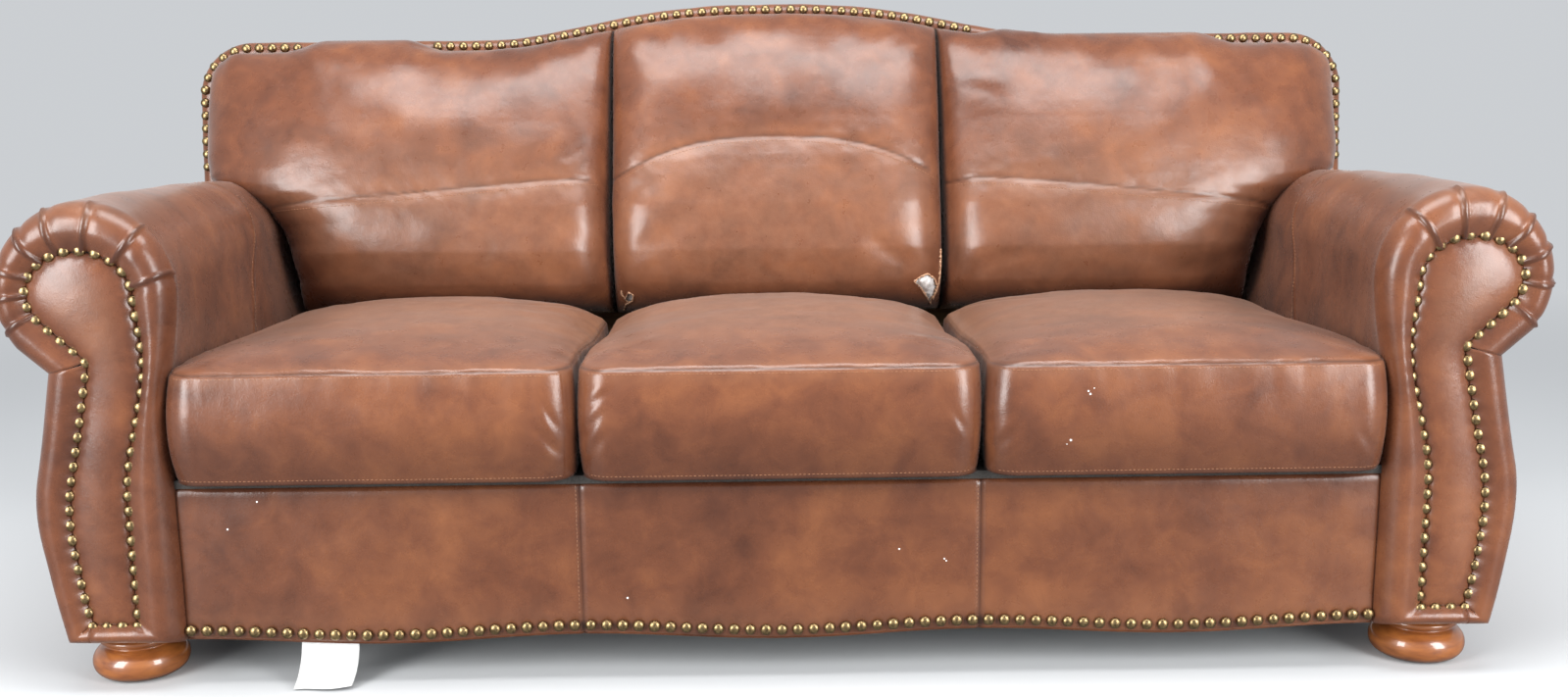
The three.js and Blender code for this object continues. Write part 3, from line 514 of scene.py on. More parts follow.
def roll_section(share):
    """The inside cover's outline, from the foot over to the notch; share is 0 in front, 1 at the back."""
    flare = EDGE_FLARE * math.exp(-share / EDGE_FLARE_REACH)
    half_width = ROLL_HALF_WIDTH - ROLL_SLIMMER * share + flare
    centre = ROLL_CENTRE + ROLL_SHIFT * share - 0.7 * flare
    half_height = ROLL_RISE - ROLL_DROP * share**1.7
    arc = scroll_arc(centre, half_width, half_height, SCROLL_RUN)
    return np.vstack([
        straight((NAIL_FOOT, BASE_Z), (0, BASE_Z), FOOT_RUN),
        straight((0, BASE_Z), (0, LEAN_Z), INNER_RUN),
        ease_up(0, LEAN_Z, arc[0, 0], ROLL_Z, LEAN_RUN),
        arc[:-1],
        np.linspace(arc[-1], NOTCH, UNDER_RUN + 1),
    ])


def panel_curve(top, belly, foot, count):
    """From the notch down the outside: a belly that draws in towards the foot."""
    return rounded_line([top, (0.5 * (top[0] + belly[0]), 0.45 * top[1] + 0.55 * belly[1]), belly,
                         (0.45 * belly[0] + 0.55 * foot[0], 0.35 * belly[1] + 0.65 * foot[1]), foot], count)


def panel_section():
    return np.vstack([
        panel_curve(NOTCH, BELLY, (ARM_FOOT, BASE_Z), OUTER_RUN)[:-1],
        np.linspace((ARM_FOOT, BASE_Z), (NAIL_FOOT, BASE_Z), FOOT_RUN),
    ])


def nail_roll_line():
    arc = scroll_arc(*NAIL_SCROLL, SCROLL_RUN)
    lean_z = np.concatenate([
        np.linspace(NAIL_LOW_Z, LEAN_Z, INNER_RUN, endpoint=False),
        np.linspace(LEAN_Z, ROLL_Z, LEAN_RUN, endpoint=False),
    ])
    to_waist = smooth(lean_z, NAIL_STRAIGHT_Z, NAIL_WAIST[1])
    to_roll = smooth(lean_z, NAIL_WAIST[1], ROLL_Z)
    inner = NAIL_INNER + (NAIL_WAIST[0] - NAIL_INNER) * to_waist + (arc[0, 0] - NAIL_WAIST[0]) * to_roll
    return np.vstack([
        straight((NAIL_FOOT, NAIL_LOW_Z), (NAIL_INNER, NAIL_LOW_Z), FOOT_RUN),
        np.stack([inner, lean_z], axis=-1),
        arc[:-1],
        np.linspace(arc[-1], NAIL_NOTCH, UNDER_RUN + 1),
    ])


def nail_panel_line():
    foot = (NAIL_FOOT, NAIL_LOW_Z)
    return np.vstack([
        panel_curve(NAIL_NOTCH, (NAIL_BELLY, BELLY[1]), foot, OUTER_RUN)[:-1],
        np.repeat([foot], FOOT_RUN, axis=0),
    ])


NAIL_SPACING = 21.8 * MM
nail_loop = np.vstack([nail_roll_line(), nail_panel_line()[1:-FOOT_RUN + 1]])
arm_nails = even_steps(nail_loop, round(path_length(nail_loop) / NAIL_SPACING))
print("arm: nailed line", round(path_length(nail_loop), 3), "m with", len(arm_nails), "nails")

# %% [markdown]
# The sweep's rows go from a turned-in rear end, along the arm, round the padded front edge and into the
# nailed groove. Pleats sit where the hide has to lose length around the scroll: each is a one-sided fold
# that runs from just behind the edge down to the nails.

# %% Covers of the arms
EDGE_RADIUS = 34 * MM
EDGE_CREST = 0.52
GROOVE_DEPTH = 15 * MM
REAR_GAP = 2 * MM
REAR_TURN = 45 * MM
LEATHER_WALL = 2.5 * MM
PLEAT_DEPTH = 4.2 * MM
PLEAT_WIDTH = 2.4 * MM
PLEAT_BEHIND = 26 * MM
PLEAT_ANGLES = {"left": (168, 135, 100, 69, 46, 21, -1, -26), "right": (133, 101, 71, 45, 21, -4, -34)}
DIMPLE_DEPTH = 3.5 * MM
DIMPLE_WIDTH = 10 * MM
ARM_SEAM_LOW = (0.0, 480 * MM)
ARM_SEAM_SLOPE = 0.52
ROWS_ALONG = np.concatenate([
    np.linspace(1, 0.75, 12),
    np.linspace(0.745, 0.50, 44),
    np.linspace(0.49, 0, 28),
])
ROWS_EDGE = 30


def sweep_cover(section_at, nail_line):
    """Rows of points from the rear to the nails, and how far each is in front of the edge's start."""
    rows, ahead = [], []
    start_y = ARM_FRONT_Y + EDGE_RADIUS
    rear = section_at(1.0)
    middle = rear.mean(axis=0)
    for turn in np.linspace(1, 0, 6, endpoint=False):
        inward = middle - rear
        inward = inward / np.linalg.norm(inward, axis=1)[:, None]
        ring = rear + inward * REAR_TURN * turn
        rows.append(np.stack([ring[:, 0], back_face_y(ring[:, 1]) - REAR_GAP, ring[:, 1]], axis=-1))
        ahead.append(np.full(len(rear), -1.0))
    for share in ROWS_ALONG:
        ring = section_at(share)
        y = start_y + share * (back_face_y(ring[:, 1]) - REAR_GAP - start_y)
        rows.append(np.stack([ring[:, 0], y, ring[:, 1]], axis=-1))
        ahead.append(start_y - y)
    front = section_at(0.0)
    inward = nail_line - front
    for step in np.linspace(0, 1, ROWS_EDGE + 1)[1:]:
        if step < EDGE_CREST:
            angle = 0.5 * math.pi * step / EDGE_CREST
            share, y = EDGE_CREST * (1 - math.cos(angle)), EDGE_RADIUS * (1 - math.sin(angle))
        else:
            share = step
            y = GROOVE_DEPTH * (1 - math.cos(0.5 * math.pi * (step - EDGE_CREST) / (1 - EDGE_CREST)))
        ring = front + inward * share
        rows.append(np.stack([ring[:, 0], np.full(len(ring), ARM_FRONT_Y + y), ring[:, 1]], axis=-1))
        ahead.append(np.full(len(ring), EDGE_RADIUS * min(1, step / EDGE_CREST) + 0.04 * step))
    return np.array(rows), np.array(ahead)


def nail_dimples(x, y, z, side):
    """How much the hide is drawn in beside each nail."""
    nearest = np.full(x.shape, np.inf)
    close = y < ARM_FRONT_Y + GROOVE_DEPTH + 5 * MM
    local = side * x - ARM_FACE_X
    for a, nail_z in arm_nails:
        nearest[close] = np.minimum(nearest[close], np.hypot(local[close] - a, z[close] - nail_z))
    return bump_at(nearest, DIMPLE_WIDTH)


def pleats(a, z, ahead, angles):
    centre = NAIL_SCROLL[0]
    angle = np.degrees(np.arctan2(z - ROLL_Z, a - centre))
    radius = np.hypot(z - ROLL_Z, a - centre)
    fold, pleat_shade = np.zeros(a.shape), np.zeros(a.shape)
    reach = smooth(ahead, -PLEAT_BEHIND, 12 * MM)
    for k, at in enumerate(angles):
        across = np.radians((angle - at + 180) % 360 - 180) * radius
        across = across + 3 * MM * np.sin(ahead * 60 + k)
        valley = bump_at(across, PLEAT_WIDTH)
        ridge = bump_at(across - 3 * PLEAT_WIDTH, 3 * PLEAT_WIDTH)
        fold += PLEAT_DEPTH * reach * (0.4 * ridge - valley)
        # painted shade in the pleat's valley
        pleat_shade = np.maximum(pleat_shade, reach * bump_at(across, 0.9 * PLEAT_WIDTH))
    return fold, pleat_shade


def arm_seam_distance(y, z):
    return y - ARM_SEAM_LOW[0] - (z - ARM_SEAM_LOW[1]) * ARM_SEAM_SLOPE


def make_arm_cover(name, side, kind):
    inside = kind == "inside"
    section = roll_section if inside else (lambda share: panel_section())
    rows, ahead = sweep_cover(section, nail_roll_line() if inside else nail_panel_line())
    shape = rows.shape
    local = rows.reshape(-1, 3).copy()
    points = local.copy()
    points[:, 0] = side * (ARM_FACE_X + local[:, 0])
    piece = new_piece(f"{name}_arm_{kind}_leather", points, grid_faces(shape[0], shape[1], flip=side > 0))
    ahead = ahead.ravel()
    dimple = nail_dimples(*points.T, side)
    move = -DIMPLE_DEPTH * dimple + 1.6 * MM * soft_noise(points, 0.09, 3 + side) * (ahead > -0.9)
    # Painted shade in the dimples beside the nails.
    shade = 0.55 * dimple * (ahead > 0)
    if inside:
        fold, pleat_shade = pleats(local[:, 0], local[:, 2], ahead, PLEAT_ANGLES[name])
        seam = bump_at(arm_seam_distance(points[:, 1], points[:, 2]), 3.5 * MM) * (local[:, 0] < ROLL_CENTRE)
        seam = seam * (points[:, 2] > LEAN_Z)
        drape = soft_noise(points * (1, 0.35, 1), 0.03, 8) * smooth(points[:, 1], 0.0, 0.2)
        move += fold - 2.2 * MM * seam + 1.2 * MM * drape * (points[:, 2] > ROLL_Z)
        # Painted shade in the pleats' valleys and along the seam's groove.
        shade = np.maximum(shade, np.maximum(0.75 * pleat_shade, 0.5 * seam))
    push(piece, move)
    # Painted shade low on the inside cover towards the back, where it tucks down beside the deck.
    tucked_shade = smooth(points[:, 2], DECK_Z + 0.24, DECK_Z + 0.08) * smooth(ahead, 0.0, -0.2)
    paint(piece, "shade", np.clip(shade + 0.25 * tucked_shade * inside, 0, 1))
    paint(piece, "wear_and_sheen", 0.5 * smooth(points[:, 2], 0.66, 0.72))
    thicken(piece, LEATHER_WALL)
    finish_piece(piece, leather, "worn_leather", f"{name}_arm_{kind}_cover")
    return piece


for name, side in SIDES:
    for kind in ("inside", "outside"):
        make_arm_cover(name, side, kind)

# %% [markdown]
# The facing is a flat panel over wadding, pulled in by the nails all round. A puffed panel takes the
# shape of a membrane under pressure, so its height is solved as one: each cell of a coarse grid becomes
# the mean of its neighbours plus a little, many times over.

# %% Facings of the arms
FACING_STEP = 4.5 * MM
FACING_PUFF = 19 * MM
MEMBRANE_STEPS = 1400


def inside_outline(points, outline):
    """Which points lie inside a closed outline, by counting crossings."""
    inside = np.zeros(len(points), bool)
    for (x0, z0), (x1, z1) in zip(outline, np.roll(outline, -1, axis=0)):
        crosses = (z0 > points[:, 1]) != (z1 > points[:, 1])
        with np.errstate(divide="ignore", invalid="ignore"):
            at = x0 + (points[:, 1] - z0) * (x1 - x0) / (z1 - z0)
        inside ^= crosses & (points[:, 0] < at)
    return inside


def membrane(outline, step):
    low, high = outline.min(axis=0), outline.max(axis=0)
    xs, zs = np.arange(low[0], high[0] + step, step), np.arange(low[1], high[1] + step, step)
    cells = np.stack(np.meshgrid(xs, zs, indexing="ij"), axis=-1)
    mask = inside_outline(cells.reshape(-1, 2), outline).reshape(cells.shape[:2])
    height = np.zeros(mask.shape)
    for _ in range(MEMBRANE_STEPS):
        beside = np.roll(height, 1, 0) + np.roll(height, -1, 0)
        mean = (beside + np.roll(height, 1, 1) + np.roll(height, -1, 1)) / 4
        height = np.where(mask, mean + 1, 0)
    return cells, mask, height / height.max()


def make_facing(name, side):
    outline = even_steps(np.vstack([nail_loop, nail_loop[:1]]), 420)[:-1]
    cells, mask, height = membrane(outline, FACING_STEP)
    rim = np.vstack([outline, outline[:1]])
    clear = distance_to_line(cells[..., 0], cells[..., 1], rim) > 0.6 * FACING_STEP
    keep = mask & clear
    flat = np.vstack([outline, cells[keep]])
    rise = np.concatenate([np.zeros(len(outline)), height[keep]])
    edges = [(i, (i + 1) % len(outline)) for i in range(len(outline))]
    found = geometry.delaunay_2d_cdt([Vector(p) for p in flat], edges, [], 1, 1e-7)
    order = [source[0] for source in found[3]]
    flat, rise = flat[order], rise[order]
    y = ARM_FRONT_Y + GROOVE_DEPTH - FACING_PUFF * rise**0.5
    points = np.stack([side * (ARM_FACE_X + flat[:, 0]), y, flat[:, 1]], axis=-1)
    faces = [face if side > 0 else face[::-1] for face in found[2]]
    piece = new_piece(f"{name}_arm_facing_leather", points, faces)
    dimple = nail_dimples(*points.T, side)
    inner = rise > 0
    push(piece, (-0.8 * DIMPLE_DEPTH * dimple + 1.0 * MM * soft_noise(points, 0.06, 5 + side)) * inner)
    # Painted shade in the dimples beside the nails.
    paint(piece, "shade", 0.55 * dimple)
    paint(piece, "wear_and_sheen", 0.35 * smooth(rise, 0.4, 1.0))
    thicken(piece, LEATHER_WALL)
    finish_piece(piece, leather, "worn_leather", f"{name}_arm_facing")


for name, side in SIDES:
    make_facing(name, side)

# %% [markdown]
# ## Seat cushions
# Each is a box cushion: a top and a bottom panel joined by a boxing strip, over foam. The seams draw in,
# and the panels between them swell. The form is laid out on a lattice first. Cloth simulation then blows
# up a coarser copy that is held at its seams, and the lattice follows that copy. Seams, puckers and folds
# come last, because a simulation would iron them flat.

# %% The cushion lattice
SEAT_CELL = 5.6 * MM
SEAT_CORNER = 46 * MM
SEAT_EDGE_RISE = 18 * MM
SEAT_EDGE_REACH = 42 * MM
SEAT_CROWN = 13 * MM
SEAT_BACK_DROP = 30 * MM
BOXING_SWELL = 11 * MM
SIDE_SWELL = 5 * MM
SEAM_Z = 475 * MM


def eased_stations(length, cell, edge):
    """Stations from -1 to 1, closer together near both ends."""
    count = int(length / cell) + 12
    even = np.linspace(-1, 1, count)
    return even + edge * np.sin(np.pi * even) / np.pi


def lattice_box(counts):
    """The skin of a block of points: their indices along the three axes, and its faces."""
    index, places, faces = {}, [], []

    def corner(*key):
        if key not in index:
            index[key] = len(places)
            places.append(key)
        return index[key]

    for axis in range(3):
        u, v = (axis + 1) % 3, (axis + 2) % 3
        for end in (0, counts[axis] - 1):
            for i in range(counts[u] - 1):
                for j in range(counts[v] - 1):
                    face = []
                    for di, dj in ((0, 0), (1, 0), (1, 1), (0, 1)):
                        key = [0, 0, 0]
                        key[axis], key[u], key[v] = end, i + di, j + dj
                        face.append(corner(*key))
                    faces.append(face if end else face[::-1])
    return np.array(places), faces


def rounded_plan(a, b, half_x, half_y, radius):
    """Maps the square -1..1 to a rectangle with round corners, ring by ring."""
    ring = np.maximum(np.maximum(np.abs(a), np.abs(b)), 1e-9)
    x, y = a / ring * half_x, b / ring * half_y
    core_x = np.clip(x, radius - half_x, half_x - radius)
    core_y = np.clip(y, radius - half_y, half_y - radius)
    out = np.hypot(x - core_x, y - core_y)
    scale = np.where(out > radius, radius / np.maximum(out, 1e-9), 1)
    return ring * (core_x + (x - core_x) * scale), ring * (core_y + (y - core_y) * scale), ring


def seat_form(name):
    low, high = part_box(f"{name}_seat_cushion_cover")
    half_x, half_y = (high.x - low.x) / 2 - SIDE_SWELL, (high.y - low.y) / 2
    boxing = SEAM_Z - low.z
    stations = [
        eased_stations(2 * half_x, SEAT_CELL, 0.45),
        eased_stations(2 * half_y, SEAT_CELL, 0.45),
        eased_stations(boxing, SEAT_CELL, 0.5),
    ]
    keys, faces = lattice_box([len(s) for s in stations])
    a, b, c = (stations[i][keys[:, i]] for i in range(3))
    x, y, ring = rounded_plan(a, b, half_x, half_y, SEAT_CORNER)
    wall = ring > 1 - 1e-9
    swell = (1 - c**2) * wall
    x = x + SIDE_SWELL * swell * np.clip(x / (half_x - SEAT_CORNER), -1, 1)
    y = y + BOXING_SWELL * swell * np.clip(y / (half_y - SEAT_CORNER), -1, 0.3)
    edge = (1 - ring) * min(half_x, half_y)
    rise = SEAT_EDGE_RISE * (1 - np.exp(-edge / SEAT_EDGE_REACH))
    rise += SEAT_CROWN * (1 - np.abs(a) ** 2.2) * (1 - np.abs(b) ** 3)
    drop = SEAT_BACK_DROP * np.abs(a) ** 2.4 * smooth(b, -0.7, 0.6)
    z = low.z + (boxing - drop) * (c + 1) / 2 + np.where(c > 1 - 1e-9, rise, 0)
    centre = np.array([(low.x + high.x) / 2, (low.y + high.y) / 2, 0])
    points = np.stack([x, y, z], axis=-1) + centre
    piece = new_piece(f"{name}_seat_cushion_leather", points, faces)
    return piece, a, b, c, ring, centre


# %% Blowing up a cushion with cloth
CLOTH_FRAMES = 20
CLOTH_PRESSURE = 4.0
CLOTH_VOXEL = 11 * MM
CLOTH_CAP = 24 * MM


def simulated_swell(piece, held_at):
    """How far each point of a piece moves when a coarse copy is blown up, held where held_at says."""
    copy = bpy.data.objects.new(piece.name + "_cloth", piece.data.copy())
    scene.collection.objects.link(copy)
    close_holes(copy)
    remesh = copy.modifiers.new("remesh", "REMESH")
    remesh.mode = "VOXEL"
    remesh.voxel_size = CLOTH_VOXEL
    plain_mesh(copy)
    rest = points_of(copy)
    group = copy.vertex_groups.new(name="held")
    weights = held_at(rest)
    for level in np.unique(np.round(weights, 1)):
        if level > 0:
            group.add(np.flatnonzero(np.round(weights, 1) == level).tolist(), float(level), "REPLACE")
    cloth = copy.modifiers.new("cloth", "CLOTH")
    cloth.settings.use_pressure = True
    cloth.settings.uniform_pressure_force = CLOTH_PRESSURE
    cloth.settings.effector_weights.gravity = 0
    cloth.settings.vertex_group_mass = "held"
    cloth.settings.quality = 4
    cloth.point_cache.frame_start, cloth.point_cache.frame_end = 1, CLOTH_FRAMES
    for step in range(1, CLOTH_FRAMES + 1):
        scene.frame_set(step)
    view = bpy.context.evaluated_depsgraph_get()
    blown = copy.evaluated_get(view).to_mesh()
    flat = np.empty(len(blown.vertices) * 3)
    blown.vertices.foreach_get("co", flat)
    move = flat.reshape(-1, 3) - rest
    size = np.linalg.norm(move, axis=1)[:, None]
    move = move * np.minimum(1, CLOTH_CAP / np.maximum(size, 1e-9))
    copy.evaluated_get(view).to_mesh_clear()
    bpy.data.objects.remove(copy)
    scene.frame_set(1)

    tree = kdtree.KDTree(len(rest))
    for i, point in enumerate(rest):
        tree.insert(point, i)
    tree.balance()
    result = np.zeros((len(piece.data.vertices), 3))
    for i, vertex in enumerate(piece.data.vertices):
        near = tree.find_n(vertex.co, 6)
        weight = np.array([math.exp(-((d / CLOTH_VOXEL) ** 2)) for _, _, d in near]) + 1e-6
        result[i] = weight @ move[[k for _, k, _ in near]] / weight.sum()
    most = float(np.linalg.norm(result, axis=1).max())
    print(piece.name, "cloth moved up to", round(most / MM, 1), "mm")
    return result


# %% Seams, puckers, wear, painted shade and painted sheen on the seats
SEAM_WIDTH = 3.4 * MM
SEAM_DEPTH = 3 * MM
PUCKER_LENGTH = 26 * MM
SEAT_HALF_WIDTH = 291.5 * MM
SEAT_HALF_DEPTH = 310 * MM
SEAM_TO_MIDDLE = 290 * MM
BOXING_HALF = 81 * MM
HELD_BAND = 12 * MM
SEAT_CLOTH_SHARE = 0.35
SEAT_FOLDS = {
    "left": (((0.285, 0.03), (0.235, 0.09), 6, 2.2), ((0.285, 0.06), (0.245, 0.13), 5, 1.8)),
    "middle": (((-0.285, 0.02), (-0.235, 0.08), 6, 2.4), ((-0.285, 0.06), (-0.240, 0.11), 5, 2.0),
               ((-0.280, 0.10), (-0.225, 0.14), 5, 1.6), ((0.285, 0.05), (0.240, 0.11), 5, 1.6)),
    "right": (((-0.285, 0.03), (-0.235, 0.08), 6, 2.0), ((0.285, 0.02), (0.235, 0.07), 6, 1.8)),
}


def make_seat_cushion(name, seed):
    piece, a, b, c, ring, centre = seat_form(name)
    low_z = points_of(piece)[:, 2].min()

    def held(points):
        at_top = bump_at(points[:, 2] - SEAM_Z, HELD_BAND)
        across, along = np.abs(points[:, 0] - centre[0]), np.abs(points[:, 1] - centre[1])
        edge = np.maximum(across / SEAT_HALF_WIDTH, along / SEAT_HALF_DEPTH)
        at_top = at_top * (edge > 0.95)
        return np.clip(np.maximum(at_top, points[:, 2] < low_z + HELD_BAND), 0, 1)

    set_points(piece, points_of(piece) + SEAT_CLOTH_SHARE * simulated_swell(piece, held))
    points = points_of(piece)
    top, wall = c > 1 - 1e-9, ring > 1 - 1e-9
    from_seam = np.where(top, (1 - ring) * SEAM_TO_MIDDLE, (1 - c) * BOXING_HALF)
    from_bottom = np.where(wall, (1 + c) * BOXING_HALF, 1.0)
    seam = np.maximum(bump_at(from_seam, SEAM_WIDTH), 0.8 * bump_at(from_bottom, SEAM_WIDTH))
    along = np.where(np.abs(b) > np.abs(a), points[:, 0], points[:, 1])
    pucker = soft_noise(np.stack([along, seed + 0 * along], axis=-1), 14 * MM, seed)
    pull = np.exp(-from_seam / PUCKER_LENGTH) + np.exp(-from_bottom / PUCKER_LENGTH) * 0.8
    move = -SEAM_DEPTH * seam + 1.3 * MM * pucker * pull * (1 - seam)
    move += 2.6 * MM * soft_noise(points, 0.13, seed + 1) + 1.1 * MM * soft_noise(points, 0.045, seed + 2)
    front = wall & (b < -1 + 1e-6)
    for start, end, width, depth in SEAT_FOLDS[name]:
        across, up = points[:, 0] - centre[0], points[:, 2] - low_z
        fold = crease(across, up, start, end, width * MM, depth * MM, 4 * MM)
        move += np.where(points[:, 1] < centre[1] - 0.27, fold, 0)
    move[points[:, 2] < low_z + 1 * MM] = 0
    push(piece, move)
    ends = np.abs(points[:, 0] - centre[0]) / SEAT_HALF_WIDTH
    low_band = smooth(points[:, 2], low_z + 55 * MM, low_z + 10 * MM)
    # Painted shade: darker in the seams' grooves, towards the bottom of the boxing, at both ends of the
    # cushion beside the next cushion and the arm, and in a band low on the front.
    shade = 0.85 * bump_at(from_seam, 2.8 * MM) + 0.5 * bump_at(from_bottom, 2.5 * MM)
    shade += 0.30 * low_band * wall
    shade += 0.35 * smooth(ends, 0.93, 1.0) * wall + 0.22 * front * bump_at(from_bottom - 0.05, 0.03)
    paint(piece, "shade", np.clip(shade, 0, 0.9))
    # Paler just behind the seam from wear, and paler from the front edge back over the top: wear together
    # with a painted sheen.
    wear_and_sheen = 0.25 * bump_at(from_seam - 8 * MM, 12 * MM) + 0.75 * smooth(b, -1.0, 0.2) * top
    paint(piece, "wear_and_sheen", np.clip(wear_and_sheen, 0, 1))
    finish_piece(piece, leather, "worn_leather", f"{name}_seat_cushion_cover", f"{name}_seat_cushion_core")
    return piece


seat_cushions = {name: make_seat_cushion(name, 20 + 7 * seat) for name, seat in SEATS}

# %% [markdown]
# ## Back cushions
# Three pillows are sewn to the back all round. A pillow's edge lies on the back, and its front swells
# out, most low down where the sitter's back rests. Across and up, its profile is a rounded box curve. The
# outer two widen above the arms. A topstitched seam crosses each, and the hide dips along it.

# %% Outline of the back
SHOULDER = 866 * MM
CORNER_RADIUS = 100 * MM
CAMEL_RISE = 62 * MM
CAMEL_HALF_WIDTH = 540 * MM
CAMEL_POWER = 1.35
BORDER_SHOWN = 24 * MM


def camel(x):
    share = np.minimum(1, np.abs(x) / CAMEL_HALF_WIDTH)
    return CAMEL_RISE * (1 + np.cos(np.pi * share**CAMEL_POWER)) / 2


def back_top(x, inset):
    radius = CORNER_RADIUS - inset
    over = np.maximum(0, np.abs(x) - BACK_HALF_WIDTH + CORNER_RADIUS)
    return SHOULDER - inset + camel(x) - radius + np.sqrt(np.maximum(0, radius**2 - over**2))


# %% The pillow form
PILLOW_LOW = 352 * MM
PILLOW_CELL = 4.2 * MM
PILLOW_SWELL_RISE = (0.36, 0.41, 0.47, 0.55, 0.62, 0.70, 0.80, 0.92)
PILLOW_SWELL = (0.222, 0.236, 0.233, 0.215, 0.192, 0.166, 0.138, 0.112)
ACROSS_POWER = 6.5
OUTER_POWER = 3.4
UP_POWER = 3.6
OUTER_RISE = (0.0, 0.42, 0.48, 0.515, 0.54, 0.56, 0.575, 0.595, 0.62, 0.66, 1.0)
OUTER_X = (0.873, 0.874, 0.888, 0.904, 0.926, 0.955, 0.99, 1.018, 1.036, 1.043, 1.043)
PILLOW_SPLITS = (-295 * MM, 304 * MM)
PILLOW_GAP = 1.0 * MM
PILLOW_SEAT = 4.5 * MM
OVERHANG = 21 * MM
PILLOW_CLOTH_SHARE = 0.5
BACK_SEAMS = {
    "left": ((-0.960, 0.540), (-0.869, 0.559), (-0.693, 0.573), (-0.517, 0.587), (-0.358, 0.601),
             (-0.297, 0.592)),
    "middle": ((-0.292, 0.592), (-0.234, 0.628), (-0.164, 0.655), (-0.093, 0.668), (-0.005, 0.672),
               (0.083, 0.668), (0.154, 0.657), (0.224, 0.635), (0.277, 0.608), (0.302, 0.588)),
    "right": ((0.306, 0.584), (0.348, 0.595), (0.454, 0.589), (0.631, 0.571), (0.808, 0.553), (0.879, 0.542),
              (0.962, 0.516)),
}


def pillow_overhang(x):
    """Where the outer pillows are full enough to roll over the border's nails."""
    left = smooth(x, -0.90, -0.82) * smooth(x, -0.60, -0.68)
    right = smooth(x, 0.36, 0.44) * smooth(x, 0.86, 0.78)
    return OVERHANG * (left + right)


def superellipse_stations(half, depth, power, cell):
    """Stations from -1 to 1 at even steps along a rounded box curve, and the curve's height there."""
    angle = np.linspace(math.pi, 0, 4000)
    across = np.sign(np.cos(angle)) * np.abs(np.cos(angle)) ** (2 / power)
    height = np.abs(np.sin(angle)) ** (2 / power)
    curve = np.stack([across * half, height * depth], axis=-1)
    even = even_steps(curve, int(path_length(curve) / cell))
    return even[:, 0] / half


def pillow_bounds(name, rise):
    outer = np.interp(rise, OUTER_RISE, OUTER_X)
    split_left, split_right = PILLOW_SPLITS
    even = np.ones(np.shape(rise))
    if name == "left":
        return -outer, even * (split_left - PILLOW_GAP)
    if name == "right":
        return even * (split_right + PILLOW_GAP), outer
    return even * (split_left + PILLOW_GAP), even * (split_right - PILLOW_GAP)


def pillow_form(name):
    a = superellipse_stations(0.29, 0.17, ACROSS_POWER, PILLOW_CELL)
    b = superellipse_stations(0.25, 0.15, UP_POWER, PILLOW_CELL)
    a, b = np.meshgrid(a, b, indexing="ij")
    nominal = PILLOW_LOW + (SHOULDER - BORDER_SHOWN - PILLOW_LOW) * (b + 1) / 2
    low_x, high_x = pillow_bounds(name, nominal)
    x = low_x + (high_x - low_x) * (a + 1) / 2
    rise = PILLOW_LOW + (back_top(x, BORDER_SHOWN - pillow_overhang(x)) - PILLOW_LOW) * (b + 1) / 2
    outer = {"left": a < 0, "middle": a > 2, "right": a > 0}[name]
    power = np.where(outer, OUTER_POWER, ACROSS_POWER)
    across = np.maximum(0, 1 - np.abs(a) ** power) ** (1 / power)
    up = np.maximum(0, 1 - np.abs(b) ** UP_POWER) ** (1 / UP_POWER)
    out = PILLOW_SEAT + np.interp(rise, PILLOW_SWELL_RISE, PILLOW_SWELL) * across * up
    return a, b, x, rise, out


# %% Making the pillows
PILLOW_FOLDS = {
    "left": (((-0.87, 0.41), (-0.72, 0.45), 13, 4), ((-0.33, 0.41), (-0.44, 0.46), 12, 4),
             ((-0.32, 0.50), (-0.40, 0.53), 9, 2.5), ((-0.33, 0.67), (-0.39, 0.63), 8, 2)),
    "middle": (((-0.28, 0.44), (-0.13, 0.52), 15, 4), ((0.28, 0.42), (0.12, 0.52), 15, 5),
               ((-0.28, 0.55), (-0.20, 0.59), 9, 2), ((0.16, 0.88), (0.12, 0.80), 11, 2.5)),
    "right": (((0.33, 0.41), (0.47, 0.47), 13, 4), ((0.87, 0.40), (0.64, 0.45), 13, 6),
              ((0.88, 0.46), (0.70, 0.43), 10, 4), ((0.33, 0.76), (0.42, 0.73), 9, 2)),
}


